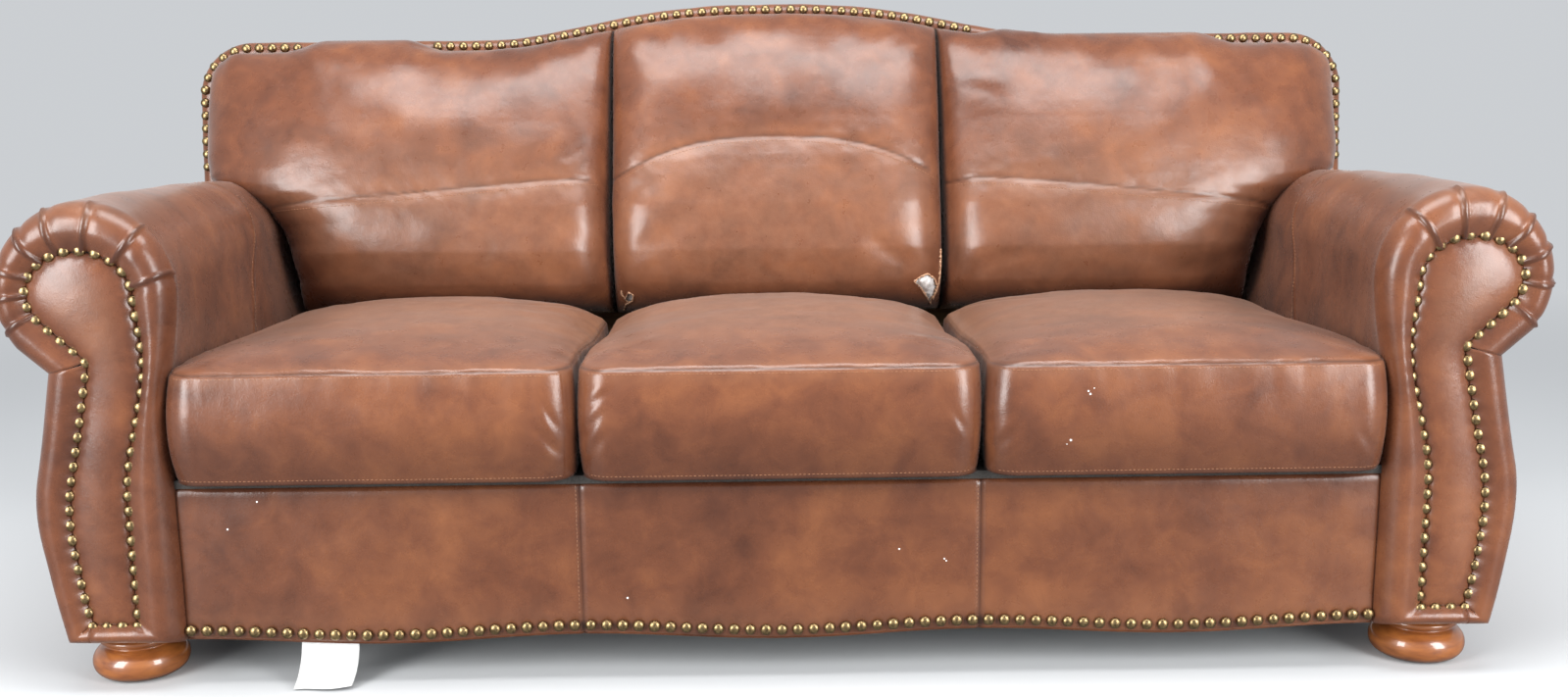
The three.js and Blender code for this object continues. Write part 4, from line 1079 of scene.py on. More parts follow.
def make_back_cushion(name, seed):
    a, b, x, rise, out = pillow_form(name)
    shape = a.shape
    a, b, x, rise, out = (value.ravel() for value in (a, b, x, rise, out))
    points = on_back(x, rise, out)
    piece = new_piece(f"{name}_back_cushion_leather", points, grid_faces(*shape))
    seam_line = rounded_line(BACK_SEAMS[name], 60)
    seam_at = distance_to_line(x, rise, seam_line[::4])
    edge = np.minimum(1 - np.abs(a), 1 - np.abs(b))

    def held(places):
        tree = kdtree.KDTree(len(points))
        for i, point in enumerate(points):
            tree.insert(point, i)
        tree.balance()
        nearest = [tree.find(place)[1] for place in places]
        return np.clip(np.maximum(edge[nearest] < 0.04, bump_at(seam_at[nearest], 9 * MM)), 0, 1)

    set_points(piece, points + PILLOW_CLOTH_SHARE * simulated_swell(piece, held))
    start = points_of(piece)
    seam = bump_at(seam_at, 3.2 * MM)
    pucker = soft_noise(np.stack([x, rise + 0.3 * x], axis=-1), 16 * MM, seed)
    gather = soft_noise(np.stack([x, 0 * x], axis=-1), 22 * MM, seed + 4) * smooth(b, 0.72, 0.97)
    move = -1.5 * MM * seam - 0.8 * MM * bump_at(seam_at, 16 * MM)
    move += 0.7 * MM * pucker * np.exp(-seam_at / 0.03) * (1 - seam)
    move += 1.8 * MM * gather
    move += 4.0 * MM * soft_noise(start, 0.16, seed + 1) + 1.5 * MM * soft_noise(start, 0.05, seed + 2)
    sides = smooth(np.abs(a), 0.72, 0.98)
    move += 0.6 * MM * soft_noise(np.stack([rise, 0.2 * x], axis=-1), 30 * MM, seed + 3) * sides
    for begin, end, width, depth in PILLOW_FOLDS[name]:
        move += crease(x, rise, begin, end, 1.5 * width * MM, 0.7 * depth * MM, 6 * MM)
    move *= smooth(edge, 0.0, 0.03)
    push(piece, move)
    # Painted shade: darker along the seam's groove, in the gaps at the pillow's sides, low where it meets
    # the seat and at its top edge against the border.
    shade = 0.8 * bump_at(seam_at, 2.2 * MM) + 0.55 * smooth(np.abs(a), 0.985, 1.0)
    shade += 0.3 * smooth(b, -0.86, -0.98)
    paint(piece, "shade", np.clip(shade + 0.25 * smooth(b, 0.97, 1.0), 0, 0.9))
    # Paler beside the seam from wear, and a painted highlight where the pillow swells out most.
    paint(piece, "wear_and_sheen", 0.12 * bump_at(seam_at - 0.012, 0.012) + 0.4 * smooth(out, 0.15, 0.22))
    close_holes(piece)
    nodes = [f"{name}_back_cushion_cover", f"{name}_back_cushion_fill"]
    finish_piece(piece, leather, "worn_leather", *(nodes[:1] if name == "middle" else nodes))
    return piece


back_cushions = {name: make_back_cushion(name, 50 + 9 * seat) for name, seat in SEATS}

# %% [markdown]
# ## The back's border and its outside
# A leather border is pulled over the back's edge, from a lip under the pillows to the rear. It follows
# the outline with its flat shoulders and the camel hump between them. Bending a strip would stretch it in
# the corners, so a closed profile is swept: each profile point is an inset from the outline and a depth.

# %% The border
BORDER_STEP = 8 * MM
BORDER_PROFILE = (
    (38, 14), (38, 1), (33, -2.5), (24, -4), (14, -3.5), (6, 0), (1.5, 6), (-0.5, 16), (-1, 31),
    (-0.5, 46), (1, 55), (5, 60), (10, 60.5), (10, 17),
)


def back_outline():
    """The back's outline, up one side, over the top and down the other, with its inward directions."""
    x = BACK_HALF_WIDTH * np.sin(np.linspace(-math.pi / 2, math.pi / 2, 1200))
    over = np.stack([x, back_top(x, 0)], axis=-1)
    line = np.vstack([[(-BACK_HALF_WIDTH, 0)], over, [(BACK_HALF_WIDTH, 0)]])
    line = even_steps(line, int(path_length(line) / BORDER_STEP))
    run = np.gradient(line, axis=0)
    run = run / np.linalg.norm(run, axis=1)[:, None]
    return line, np.stack([run[:, 1], -run[:, 0]], axis=-1)


def make_border():
    line, inward = back_outline()
    rings = [line + inward * inset * MM for inset, _ in BORDER_PROFILE]
    rows = [on_back(ring[:, 0], ring[:, 1], -depth * MM) for ring, (_, depth) in zip(rings, BORDER_PROFILE)]
    rows = np.array(rows).transpose(1, 0, 2)
    piece = new_piece("back_border_leather", rows, grid_faces(*rows.shape[:2], round_columns=True))
    close_holes(piece)
    push(piece, 0.7 * MM * soft_noise(points_of(piece), 0.03, 77))
    inset = np.tile([inset for inset, _ in BORDER_PROFILE], len(line))
    # Painted shade on the lip that lies under the pillows; the outer edge is paler from wear.
    paint(piece, "shade", 0.5 * smooth(inset, 20, 30))
    paint(piece, "wear_and_sheen", 0.3 * bump_at(inset - 3, 4))
    finish_piece(piece, leather, "worn_leather", "back_border")


make_border()

# %% The outside of the back
OUTSIDE_DEPTH = 64.5 * MM
OUTSIDE_INSET = 4 * MM
OUTSIDE_PUFF = 5 * MM
OUTSIDE_SEAMS = (-358 * MM, 358 * MM)


def make_outside_back():
    width = BACK_HALF_WIDTH - OUTSIDE_INSET
    columns = np.sort(np.concatenate([width * np.sin(np.linspace(-math.pi / 2, math.pi / 2, 170))]))
    x, share = np.meshgrid(columns, np.linspace(0, 1, 60), indexing="ij")
    top = back_top(x, OUTSIDE_INSET)
    rise = share * top
    edge = np.minimum(np.minimum(width - np.abs(x), top - rise), rise)
    seam = sum(bump_at(x - at, 4 * MM) for at in OUTSIDE_SEAMS)
    puff = OUTSIDE_PUFF * (1 - np.exp(-edge / 0.03)) - 3 * MM * seam
    points = on_back(x, rise, -OUTSIDE_DEPTH - puff)
    piece = new_piece("outside_back_leather", points, grid_faces(*x.shape, flip=True))
    push(piece, 1.8 * MM * soft_noise(points_of(piece), 0.14, 81) * smooth(edge, 0, 0.02).ravel())
    # Painted shade along the seams' grooves and at the edges, where the panel meets the border.
    paint(piece, "shade", 0.5 * seam + 0.4 * smooth(edge, 6 * MM, 0))
    paint(piece, "wear_and_sheen", 0.25 * smooth(edge, 0.05, 0.01))
    thicken(piece, LEATHER_WALL)
    finish_piece(piece, leather, "worn_leather", "outside_back_panel")


make_outside_back()

# %% [markdown]
# ## The front rail
# Under the seats a padded leather apron is nailed along a lower edge of three shallow scallops. Two
# upright seams divide it under the gaps of the seats. It is a grid whose lower edge follows the scallops,
# and which turns under the rail at the bottom.

# %% The apron
RAIL_SCALLOP = 11 * MM
RAIL_PUFF = 6 * MM
RAIL_ROLL = 16 * MM
RAIL_SEAMS = (-292 * MM, 292 * MM)
RAIL_NAIL_RISE = 15 * MM
RAIL_NAIL_SPACING = 23.2 * MM
RAIL_HALF = ARM_FACE_X - DECK_SIDE_GAP
RAIL_LOW_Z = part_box("front_rail_cover")[0].z + RAIL_SCALLOP
RAIL_TOP_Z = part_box("front_rail_cover")[1].z + 8 * MM


def panel_share(x):
    """Where x lies in its panel, from 0 to 1."""
    edges = np.array([-RAIL_HALF, *RAIL_SEAMS, RAIL_HALF])
    k = np.clip(np.searchsorted(edges, x) - 1, 0, 2)
    return (x - edges[k]) / (edges[k + 1] - edges[k])


def rail_low_edge(x):
    return RAIL_LOW_Z - RAIL_SCALLOP * np.sin(np.pi * panel_share(x)) ** 2


rail_nail_x = np.linspace(-RAIL_HALF + 9 * MM, RAIL_HALF - 9 * MM, int(2 * RAIL_HALF / RAIL_NAIL_SPACING))


def make_apron():
    x, share = np.meshgrid(np.linspace(-RAIL_HALF, RAIL_HALF, 400), np.linspace(-0.05, 1, 48), indexing="ij")
    low = rail_low_edge(x)
    z = low + np.maximum(share, 0) * (RAIL_TOP_Z - low)
    across = panel_share(x)
    up = np.clip(share, 0, 1)
    puff = RAIL_PUFF * (4 * across * (1 - across)) ** 0.3 * (4 * up * (1 - up)) ** 0.4
    seam = sum(bump_at(x - at, 3 * MM) for at in RAIL_SEAMS)
    nearest = np.abs(x[..., None] - rail_nail_x).min(axis=-1)
    dimple = bump_at(np.hypot(nearest, z - low - RAIL_NAIL_RISE), 8 * MM)
    y = RAIL_COVER_Y - puff + 3 * MM * seam + 2.5 * MM * dimple + np.where(share < 0, 7 * MM, 0)
    y += RAIL_ROLL * smooth(share, 0.93, 1.0) ** 2
    points = np.stack([x, y, z], axis=-1)
    piece = new_piece("front_rail_leather", points, grid_faces(*x.shape))
    places = points_of(piece)
    slack = 1.6 * MM * soft_noise(places, 0.12, 91) + 0.7 * MM * soft_noise(places, 0.04, 92)
    push(piece, slack * (share.ravel() > 0))
    # Painted shade: the whole apron a little darker under the seats' overhang, much darker towards its top
    # under the seat cushions, and darker along the seams and in the nail dimples.
    under = smooth(z, RAIL_TOP_Z - 0.06, RAIL_TOP_Z) + 1.6 * smooth(z, RAIL_TOP_Z - 0.012, RAIL_TOP_Z)
    paint(piece, "shade", np.clip(0.1 + 0.6 * seam + 0.5 * dimple + 0.35 * under, 0, 0.9))
    paint(piece, "wear_and_sheen", 0.2 * smooth(z, 0.15, 0.08))
    thicken(piece, LEATHER_WALL)
    finish_piece(piece, leather, "worn_leather", "front_rail_cover")
    return piece


apron = make_apron()

# %% [markdown]
# ## Feet and label
# The front feet are turned buns with a bead above, so their profile is spun round an axis. The rear feet
# are plain tapered blocks with broken edges. The label is a strip of cloth that hangs from behind the
# apron and curls forward on the floor.

# %% Turned and tapered feet
BUN_PROFILE = (
    (40, 0), (55, 2), (66, 10), (70, 22), (68, 35), (58, 46), (51, 49), (50, 51), (55, 53), (59, 57),
    (59, 61),
    (55, 65), (51, 67), (51, 70), (51, 72),
)
BUN_SIDES = 72
FOOT_BEVEL = 4 * MM
REAR_FOOT_TAPER = 0.8


def spin(name, profile, centre):
    angle = np.linspace(0, 2 * math.pi, BUN_SIDES, endpoint=False)
    profile = np.vstack([[(1e-9, profile[0][1])], profile, [(1e-9, profile[-1][1])]])
    x = centre[0] + profile[:, :1] * np.cos(angle)
    y = centre[1] + profile[:, :1] * np.sin(angle)
    z = np.repeat(profile[:, 1:], BUN_SIDES, axis=1)
    points = np.stack([x, y, z], axis=-1)
    piece = new_piece(name, points, grid_faces(len(profile), BUN_SIDES, round_columns=True))
    return close_holes(piece)


def make_front_foot(name):
    low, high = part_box(f"{name}_front_foot")
    centre = ((low.x + high.x) / 2, (low.y + high.y) / 2)
    piece = spin(f"{name}_bun_foot", rounded_line(np.array(BUN_PROFILE) * MM, 60), centre)
    finish_piece(piece, lacquer, "lacquered_wood", f"{name}_front_foot")


def make_rear_foot(name):
    low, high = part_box(f"{name}_rear_foot")
    middle, half = (low + high) / 2, (high - low) / 2
    work = bmesh.new()
    bmesh.ops.create_cube(work, size=2)
    for vertex in work.verts:
        taper = 1 if vertex.co.z > 0 else REAR_FOOT_TAPER
        x, y, z = vertex.co
        vertex.co = middle + Vector((x * half.x * taper, y * half.y * taper, z * half.z))
    bmesh.ops.bevel(work, geom=work.edges, offset=FOOT_BEVEL, segments=4, profile=0.5, affect="EDGES")
    mesh = bpy.data.meshes.new(f"{name}_block_foot")
    work.to_mesh(mesh)
    work.free()
    piece = bpy.data.objects.new(f"{name}_block_foot", mesh)
    scene.collection.objects.link(piece)
    finish_piece(piece, lacquer, "lacquered_wood", f"{name}_rear_foot")


for name, side in SIDES:
    make_front_foot(name)
    make_rear_foot(name)

# %% The label
LABEL_HANG = ((0, 0), (-1, -18), (-8, -38), (-22, -56), (-42, -69))
LABEL_SLANT = 5 * MM
LABEL_CURL = 4 * MM
LABEL_WALL = 0.4 * MM


def make_label():
    low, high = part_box("care_label")
    hang = rounded_line(np.array(LABEL_HANG) * MM, 40)
    across = np.linspace(-0.5, 0.5, 26)
    down = np.linspace(0, 1, len(hang))[:, None]
    x = (low.x + high.x) / 2 + (high.x - low.x) * across - LABEL_SLANT * down**2 * np.ones(26)
    y = high.y + hang[:, :1] - 3 * MM * down * np.sin(2 * np.pi * across + 0.6)
    z = high.z + hang[:, 1:] + LABEL_CURL * down**3 * (across + 0.5) ** 2
    points = np.stack([x, y, np.maximum(z, 1 * MM)], axis=-1)
    piece = new_piece("care_label_cloth", points, grid_faces(len(hang), 26, flip=True))
    thicken(piece, LABEL_WALL)
    finish_piece(piece, label_cloth, "label_cloth", "care_label")


make_label()

# %% [markdown]
# ## Nails with Geometry Nodes
# Two hundred domed nails edge the arms, the back and the apron. Copies made one by one would be heavy to
# change, so a node tree puts one flattened sphere on every point and turns it to the way the point faces.
# The sizes are inputs of the tree, and the small differences between nails come from a fixed seed.


# %% A tree for domes on points
def start_tree(name, inputs):
    tree = bpy.data.node_groups.new(name, "GeometryNodeTree")
    tree.interface.new_socket("Geometry", in_out="INPUT", socket_type="NodeSocketGeometry")
    for label, kind in inputs:
        tree.interface.new_socket(label, in_out="INPUT", socket_type=f"NodeSocket{kind}")
    tree.interface.new_socket("Geometry", in_out="OUTPUT", socket_type="NodeSocketGeometry")
    return tree, tree.nodes.new("NodeGroupInput").outputs


def end_tree(tree, instances, material):
    whole = add_node(tree, "GeometryNodeRealizeInstances", {"Geometry": instances}).outputs[0]
    soft = add_node(tree, "GeometryNodeSetShadeSmooth", {"Geometry": whole}).outputs[0]
    coated = add_node(tree, "GeometryNodeSetMaterial", {"Geometry": soft, "Material": material}).outputs[0]
    tree.links.new(coated, tree.nodes.new("NodeGroupOutput").inputs[0])
    return tree


def dome_tree():
    inputs = (
        ("Radius", "Float"), ("Height", "Float"), ("Spread", "Float"), ("Seed", "Int"),
        ("Material", "Material"),
    )
    tree, given = start_tree("domes_on_points", inputs)
    round_form = {"Segments": 12, "Rings": 7, "Radius": given["Radius"]}
    ball = add_node(tree, "GeometryNodeMeshUVSphere", round_form)
    flat = add_node(tree, "ShaderNodeCombineXYZ", {"X": 1.0, "Y": 1.0, "Z": given["Height"]})
    dome = add_node(tree, "GeometryNodeTransform", {"Geometry": ball.outputs[0], "Scale": flat.outputs[0]})
    facing = add_node(tree, "GeometryNodeInputNamedAttribute", {"Name": "facing"}, data_type="FLOAT_VECTOR")
    turn = add_node(tree, "FunctionNodeAlignRotationToVector", {"Vector": facing.outputs[0]}, axis="Z")
    least = add_node(tree, "ShaderNodeMath", {0: 1.0, 1: given["Spread"]}, operation="SUBTRACT")
    most = add_node(tree, "ShaderNodeMath", {0: 1.0, 1: given["Spread"]}, operation="ADD")
    size = add_node(tree, "FunctionNodeRandomValue", {"Seed": given["Seed"]}, data_type="FLOAT")
    tree.links.new(least.outputs[0], size.inputs[2])
    tree.links.new(most.outputs[0], size.inputs[3])
    spots = {"Points": given["Geometry"], "Instance": dome.outputs[0], "Rotation": turn.outputs[0]}
    spots["Scale"] = size.outputs[1]
    placed = add_node(tree, "GeometryNodeInstanceOnPoints", spots)
    return end_tree(tree, placed.outputs[0], given["Material"])


def grow(name, points, edges, tree, values, facing=None):
    """Runs a node tree on points or lines and keeps the result as a plain mesh."""
    mesh = bpy.data.meshes.new(name)
    mesh.from_pydata(np.asarray(points, float).tolist(), edges, [])
    if facing is not None:
        layer = mesh.attributes.new("facing", "FLOAT_VECTOR", "POINT")
        layer.data.foreach_set("vector", np.asarray(facing, np.float32).ravel())
    piece = bpy.data.objects.new(name, mesh)
    scene.collection.objects.link(piece)
    maker = piece.modifiers.new("maker", "NODES")
    maker.node_group = tree
    for item in tree.interface.items_tree:
        if item.in_out == "INPUT" and item.name in values:
            maker[item.identifier] = values[item.name]
    return plain_mesh(piece)


domes = dome_tree()
print("domes tree:", len(domes.nodes), "nodes")

# %% Nails of the arms, the back and the apron
NAIL_RADIUS = 8.6 * MM
NAIL_HEIGHT = 0.62
NAIL_SEATING = 5 * MM
BACK_NAIL_INSET = 12 * MM
BACK_NAIL_SPACING = 23.4 * MM
BACK_NAIL_LOWEST = 632 * MM
SITTER_WAY = on_back(0, 0, 1) - on_back(0, 0, 0)


def drive_nails(name, points, facing, seed):
    values = {"Radius": NAIL_RADIUS, "Height": NAIL_HEIGHT, "Spread": 0.05, "Seed": seed, "Material": brass}
    piece = grow(name, points, [], domes, values, np.broadcast_to(facing, np.shape(points)))
    return finish_piece(piece, brass, "antique_brass")


for name, side in SIDES:
    nail_y = ARM_FRONT_Y + GROOVE_DEPTH - NAIL_SEATING
    spots = np.array([(side * (ARM_FACE_X + a), nail_y, z) for a, z in arm_nails])
    drive_nails(f"{name}_arm_nails", spots, (0, -1, 0), 5 + side)

rail_spots = np.stack([
    rail_nail_x,
    np.full(len(rail_nail_x), RAIL_COVER_Y - NAIL_SEATING),
    rail_low_edge(rail_nail_x) + RAIL_NAIL_RISE,
], axis=-1)
drive_nails("front_rail_nails", rail_spots, (0, -1, 0), 7)

outline, outline_inward = back_outline()
back_line = outline + outline_inward * BACK_NAIL_INSET
back_line = back_line[back_line[:, 1] > BACK_NAIL_LOWEST]
back_line = even_steps(back_line, int(path_length(back_line) / BACK_NAIL_SPACING))
back_line = back_line[pillow_overhang(back_line[:, 0]) < 0.3 * OVERHANG]
drive_nails("back_nails", on_back(back_line[:, 0], back_line[:, 1], NAIL_SEATING), SITTER_WAY, 8)

# %% [markdown]
# ## Stitches with Geometry Nodes
# Topstitching runs beside each seam. A seam's line is laid on the leather by casting rays at it, and a
# second tree turns the line into a curve, steps along it and lays one short thread at every step.


# %% A tree for stitches along lines
def stitch_tree():
    inputs = (("Pitch", "Float"), ("Length", "Float"), ("Width", "Float"), ("Material", "Material"))
    tree, given = start_tree("stitches_on_lines", inputs)
    curve = add_node(tree, "GeometryNodeMeshToCurve", {"Mesh": given["Geometry"]}).outputs[0]
    pitch = {"Curve": curve, "Length": given["Pitch"]}
    steps = add_node(tree, "GeometryNodeResampleCurve", pitch, mode="LENGTH")
    ball = add_node(tree, "GeometryNodeMeshUVSphere", {"Segments": 6, "Rings": 4, "Radius": 0.5})
    size = {"X": given["Length"], "Y": given["Width"], "Z": given["Width"]}
    size = add_node(tree, "ShaderNodeCombineXYZ", size).outputs[0]
    strand = add_node(tree, "GeometryNodeTransform", {"Geometry": ball.outputs[0], "Scale": size}).outputs[0]
    way = add_node(tree, "GeometryNodeInputTangent").outputs[0]
    turn = add_node(tree, "FunctionNodeAlignRotationToVector", {"Vector": way}, axis="X").outputs[0]
    spots = {"Points": steps.outputs[0], "Instance": strand, "Rotation": turn}
    stitches = add_node(tree, "GeometryNodeInstanceOnPoints", spots).outputs[0]
    return end_tree(tree, stitches, given["Material"])


STITCH = {"Pitch": 6.2 * MM, "Length": 4.6 * MM, "Width": 1.1 * MM, "Material": thread}
STITCH_OFF_SEAM = 7 * MM
stitches = stitch_tree()


def surface_of(piece):
    view = bpy.context.evaluated_depsgraph_get()
    view.update()
    return bvhtree.BVHTree.FromObject(piece, view)


def cast_line(surface, starts, ways):
    """Points where rays meet a piece."""
    hits = [surface.ray_cast(Vector(start), Vector(way)) for start, way in zip(starts, ways)]
    return np.array([hit[0] for hit in hits if hit[0] is not None])


def sew(name, lines):
    points = np.vstack(lines)
    edges, first = [], 0
    for line in lines:
        edges += [(first + i, first + i + 1) for i in range(len(line) - 1)]
        first += len(line)
    piece = grow(name, points, edges, stitches, STITCH)
    finish_piece(piece, thread, "sewing_thread")


def from_front(piece, x, z):
    x, z = np.broadcast_arrays(np.asarray(x, float), np.asarray(z, float))
    starts = np.stack([x, np.full(x.shape, -2.0), z], axis=-1)
    return cast_line(surface_of(piece), starts, np.tile((0.0, 1.0, 0.0), (len(x), 1)))


# %% Topstitching of pillows, seats, arms and apron
def pillow_stitches(name):
    line = rounded_line(BACK_SEAMS[name], 140)[4:-4]
    place = on_back(line[:, 0], line[:, 1] - STITCH_OFF_SEAM, 0.16)
    return from_front(back_cushions[name], place[:, 0], place[:, 2])


def seat_stitches(name):
    low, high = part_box(f"{name}_seat_cushion_cover")
    x = np.linspace(low.x + 22 * MM, high.x - 22 * MM, 130)
    rows = (SEAM_Z - STITCH_OFF_SEAM, low.z + STITCH_OFF_SEAM)
    return [from_front(seat_cushions[name], x, z) for z in rows]


def arm_stitches(name, side):
    surface = surface_of(bpy.data.objects[f"{name}_arm_inside_leather"])
    angle = np.linspace(math.pi + 0.95, 1.3, 120)
    z = ROLL_Z + 0.12 * np.sin(angle)
    y = ARM_SEAM_LOW[0] + (z - ARM_SEAM_LOW[1]) * ARM_SEAM_SLOPE - 0.8 * STITCH_OFF_SEAM
    out = np.stack([side * np.cos(angle), 0 * angle, np.sin(angle)], axis=-1)
    centre = np.stack([np.full(120, side * (ARM_FACE_X + ROLL_CENTRE)), y, np.full(120, ROLL_Z)], axis=-1)
    return cast_line(surface, centre + 0.4 * out, -out)


sew("back_cushion_stitches", [pillow_stitches(name) for name, _ in SEATS])
sew("seat_cushion_stitches", [line for name, _ in SEATS for line in seat_stitches(name)])
sew("arm_stitches", [arm_stitches(name, side) for name, side in SIDES])
rail_z = np.linspace(RAIL_LOW_Z + 34 * MM, RAIL_TOP_Z - 4 * MM, 50)
sew("front_rail_stitches", [from_front(apron, np.full(50, at - 5 * MM), rail_z) for at in RAIL_SEAMS])

# %% [markdown]
# ## Damage
# The middle pillow is torn at both lower corners: white filling shows through a ragged hole, and the
# suede side of the hide frays along its rim. Their places are taken from the photograph, as pixels that
# are cast on the leather. A few flecks of dried paint lie on the apron and the seats in the same way.

# %% The camera, which also places the damage
PHOTO_SIZE = (1599, 711)
FOCAL_PIXELS = 1660.5
SENSOR = 36.0
CAMERA_PLACE = (-0.0192, -2.719, 0.9335)
CAMERA_YAW, CAMERA_PITCH, CAMERA_ROLL = math.radians(0.66), math.radians(-10.84), math.radians(-0.582)


def make_camera():
    data = bpy.data.cameras.new("camera")
    data.sensor_width = SENSOR
    data.lens = FOCAL_PIXELS * SENSOR / PHOTO_SIZE[0]
    camera = bpy.data.objects.new("camera", data)
    scene.collection.objects.link(camera)
    camera.location = CAMERA_PLACE
    turn = Euler((math.pi / 2 + CAMERA_PITCH, 0, -CAMERA_YAW), "XYZ").to_matrix()
    roll = Euler((0, 0, CAMERA_ROLL), "XYZ").to_matrix()
    camera.rotation_euler = (turn @ roll).to_euler()
    scene.camera = camera
    return turn @ roll


camera_turn = make_camera()


def pixel_ways(pixels):
    """Directions from the camera through pixels of the photograph."""
    middle = np.array(PHOTO_SIZE) / 2
    ways = []
    for across, down in np.asarray(pixels, float):
        ways.append(camera_turn @ Vector((across - middle[0], middle[1] - down, -FOCAL_PIXELS)).normalized())
    return np.array(ways)


def on_pixels(piece, pixels):
    """Where pixels of the photograph lie on a piece, or the piece's nearest points to them."""
    surface = surface_of(piece)
    start = Vector(CAMERA_PLACE)
    depth = points_of(piece)[:, 1].min() + 0.05 - start.y
    places = []
    for way in pixel_ways(pixels):
        hit = surface.ray_cast(start, Vector(way))[0]
        places.append(hit or surface.find_nearest(start + Vector(way) * (depth / way[1]))[0])
    return np.array(places)


# %% Tears of the middle pillow
TEARS = {
    "right": ((932, 287), (939, 282), (946, 279), (953, 284), (955, 291), (961, 292), (965, 296), (966, 305),
              (964, 317), (957, 318), (949, 310), (943, 300), (938, 292)),
    "left": ((627, 302), (633, 300), (638, 304), (641, 298), (646, 301), (645, 307), (638, 311), (636, 317),
             (638, 321), (632, 322), (628, 314)),
}
FRAYED_SEAM = (
    (964, 254), (966, 262), (964, 272), (965, 283), (966, 292), (963, 306), (962, 318), (966, 327),
)
FRAY_REACH = 4.5 * MM
FILL_STEP = 2.2 * MM
FILL_DEPTH = {"right": 3 * MM, "left": 10 * MM}


def ragged_strip(name, line, seed, closed):
    """A frayed edge: a narrow strip whose far side is jagged and curls towards the sitter."""
    count = max(14, int(path_length(line) / (1.6 * MM)))
    line = even_steps(line, count)
    jag = soft_noise(np.arange(count)[:, None] * 0.9, 1.0, seed)
    jog = soft_noise(np.arange(count)[:, None] * 0.7, 1.0, seed + 3)
    middle = line.mean(axis=0)
    inward = middle - line if closed else np.tile((-1.0, 0.0, 0.0), (count, 1))
    inward = inward / np.linalg.norm(inward, axis=1)[:, None]
    lift = np.array(SITTER_WAY)
    reach = FRAY_REACH * (0.45 + 0.55 * jag[:, None])
    rows = [
        line - inward * 1.6 * MM + lift * 0.4 * MM,
        line + lift * (1.4 * MM + 1.0 * MM * jog[:, None]),
        line + inward * reach + lift * (3.0 * MM + 2.2 * MM * jog[:, None]),
    ]
    points = np.array(rows).transpose(1, 0, 2)
    piece = new_piece(name, points, grid_faces(count, 3))
    thicken(piece, 0.9 * MM)
    finish_piece(piece, suede, "worn_leather")


def make_tear(name, pixels, seed):
    pillow = back_cushions["middle"]
    surface = surface_of(pillow)
    rim = on_pixels(pillow, pixels)
    loop = np.vstack([rim, rim[:1]])
    flat = rim[:, [0, 2]]
    work = bmesh.new()
    work.from_mesh(pillow.data)
    front = [face for face in work.faces if face.normal.y < -0.1]
    centres = np.array([face.calc_center_median() for face in front])
    gone = inside_outline(centres[:, [0, 2]], flat)
    bmesh.ops.delete(work, geom=[face for face, out in zip(front, gone) if out], context="FACES")
    work.to_mesh(pillow.data)
    work.free()

    low, high = flat.min(axis=0) - 4 * MM, flat.max(axis=0) + 4 * MM
    steps = [np.arange(low[axis], high[axis], FILL_STEP) for axis in (0, 1)]
    x, z = np.meshgrid(*steps, indexing="ij")
    rim_y = rim[:, 1].mean()
    points = np.stack([x.ravel(), np.full(x.size, rim_y), z.ravel()], axis=-1)
    for point in points:
        hit = surface.ray_cast(Vector((point[0], -2, point[2])), Vector((0, 1, 0)))[0]
        point[1] = (hit or surface.find_nearest(Vector(point))[0]).y
    tuft = soft_noise(points, 12 * MM, seed) * 4.5 * MM + soft_noise(points, 4.5 * MM, seed + 1) * 2 * MM
    away = distance_to_line(x.ravel(), z.ravel(), np.vstack([flat, flat[:1]]))
    inner = inside_outline(points[:, [0, 2]], flat)
    sunk = FILL_DEPTH[name]
    depth = np.where(inner, sunk - 5 * MM * smooth(away, 0, 12 * MM), sunk + 3 * MM)
    points[:, 1] += depth - tuft * inner
    piece = new_piece(f"{name}_torn_filling", points, grid_faces(*x.shape))
    thicken(piece, 3 * MM)
    finish_piece(piece, fibre, "fibre_fill", *(["middle_back_cushion_fill"] if name == "right" else []))
    ragged_strip(f"{name}_tear_edge", loop, seed + 5, True)


for k, (name, pixels) in enumerate(TEARS.items()):
    make_tear(name, pixels, 120 + 10 * k)
ragged_strip("frayed_seam_edge", on_pixels(back_cushions["middle"], FRAYED_SEAM), 141, False)

# %% Flecks of dried paint
APRON_FLECKS = ((917, 560), (965, 572), (963, 570), (232, 540), (262, 512), (640, 610))
SEAT_FLECKS = ((1110, 399), (1112, 402), (1088, 453), (1116, 396), (1092, 449))
FLECK_RADIUS = 1.3 * MM


def make_flecks(name, piece, pixels, seed):
    spots = on_pixels(piece, pixels)
    values = {"Radius": FLECK_RADIUS, "Height": 0.22, "Spread": 0.45, "Seed": seed, "Material": paint_white}
    flecks = grow(name, spots, [], domes, values, np.tile((0.0, -1.0, 0.0), (len(spots), 1)))
    flecks.data.materials.clear()
    flecks.data.materials.append(paint_white)
    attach(flecks, "root")
    print(name, len(spots), "flecks")


make_flecks("apron_flecks", apron, APRON_FLECKS, 61)
make_flecks("seat_flecks", seat_cushions["right"], SEAT_FLECKS, 62)

# %% [markdown]
# ## Floor and light
# The sofa stands in a plain pale studio. Two large soft lamps in front, left and right, draw long pale
# highlights on the leather, as the glossy hide shows in the photograph, and a third one hangs overhead.
# The far floor fades to the background's tone by its distance, so that no horizon shows.

# %% Floor, lamps and background
FLOOR_NEAR, FLOOR_FAR = 1.6, 4.2
BACKDROP = (0.60, 0.62, 0.645)
FLOOR_TONE = (0.60, 0.615, 0.625, 1)
FLOOR_BOUNCE = (0.20, 0.205, 0.21, 1)
FILL_LIGHT = (0.84, 0.88, 0.94, 1)
FILL_STRENGTH = 0.42


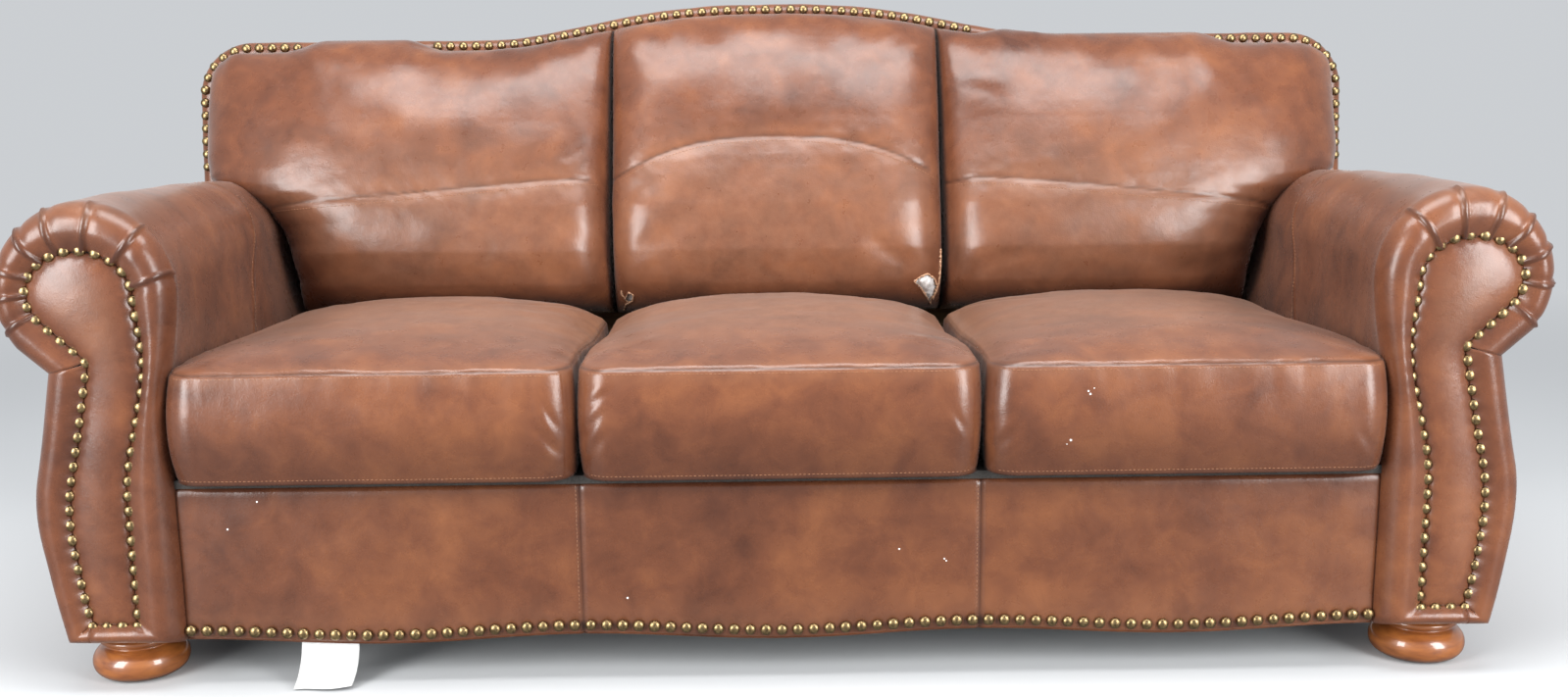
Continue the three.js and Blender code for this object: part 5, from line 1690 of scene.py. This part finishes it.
def seen_directly(tree):
    """1 where the camera sees a surface itself, in a reflection or through glass, else 0."""
    path = add_node(tree, "ShaderNodeLightPath").outputs
    mirrored = math_node(tree, "MAXIMUM", path["Is Glossy Ray"], path["Is Transmission Ray"])
    return math_node(tree, "MAXIMUM", path["Is Camera Ray"], mirrored)


def make_floor():
    angle = np.linspace(0, 2 * math.pi, 96, endpoint=False)
    rings = np.array([0.001, 2, 4, 8, 30])
    points = [(r * math.cos(t), r * math.sin(t), 0) for r in rings for t in angle]
    floor = new_piece("floor", points, grid_faces(len(rings), len(angle), round_columns=True))
    material, tree, shader = start_material("pale_floor")
    place = object_place(tree)
    shader.inputs["Roughness"].default_value = 0.65
    reach = add_node(tree, "ShaderNodeVectorMath", {0: place}, operation="LENGTH").outputs["Value"]
    far = add_node(tree, "ShaderNodeMapRange", {"Value": reach, 1: FLOOR_NEAR, 2: FLOOR_FAR}).outputs[0]
    glow = add_node(tree, "ShaderNodeEmission", {"Color": (*BACKDROP, 1)})
    path = seen_directly(tree)
    direct = add_node(tree, "ShaderNodeLightPath").outputs["Is Camera Ray"]
    tone = mix_node(tree, direct, FLOOR_BOUNCE, FLOOR_TONE)
    tree.links.new(tone, shader.inputs["Base Color"])
    mixer = add_node(tree, "ShaderNodeMixShader", {0: math_node(tree, "MULTIPLY", far, path)})
    tree.links.new(shader.outputs[0], mixer.inputs[1])
    tree.links.new(glow.outputs[0], mixer.inputs[2])
    tree.links.new(mixer.outputs[0], tree.nodes["Material Output"].inputs["Surface"])
    floor.data.materials.append(material)


def make_lamp(name, place, aim, size, power):
    data = bpy.data.lights.new(name, "AREA")
    data.shape = "RECTANGLE"
    data.size, data.size_y = size
    data.energy = power
    lamp = bpy.data.objects.new(name, data)
    scene.collection.objects.link(lamp)
    lamp.location = place
    lamp.rotation_euler = (Vector(aim) - Vector(place)).to_track_quat("-Z", "Y").to_euler()


def make_world():
    world = bpy.data.worlds.new("studio")
    scene.world = world
    world.use_nodes = True
    tree = world.node_tree
    fill = tree.nodes["Background"]
    fill.inputs["Color"].default_value = FILL_LIGHT
    fill.inputs["Strength"].default_value = FILL_STRENGTH
    seen = add_node(tree, "ShaderNodeBackground", {"Color": (*BACKDROP, 1), "Strength": 1.0})
    mixer = add_node(tree, "ShaderNodeMixShader")
    tree.links.new(seen_directly(tree), mixer.inputs[0])
    tree.links.new(fill.outputs[0], mixer.inputs[1])
    tree.links.new(seen.outputs[0], mixer.inputs[2])
    tree.links.new(mixer.outputs[0], tree.nodes["World Output"].inputs["Surface"])


make_floor()
make_world()
make_lamp("left_softbox", (-2.6, -2.7, 1.45), (-0.2, 0, 0.5), (1.4, 2.6), 165)
make_lamp("right_softbox", (2.6, -2.7, 1.45), (0.2, 0, 0.5), (1.4, 2.6), 165)
make_lamp("overhead", (0, -0.7, 3.0), (0, 0, 0.4), (2.8, 1.2), 95)
scene.view_settings.view_transform = "Standard"
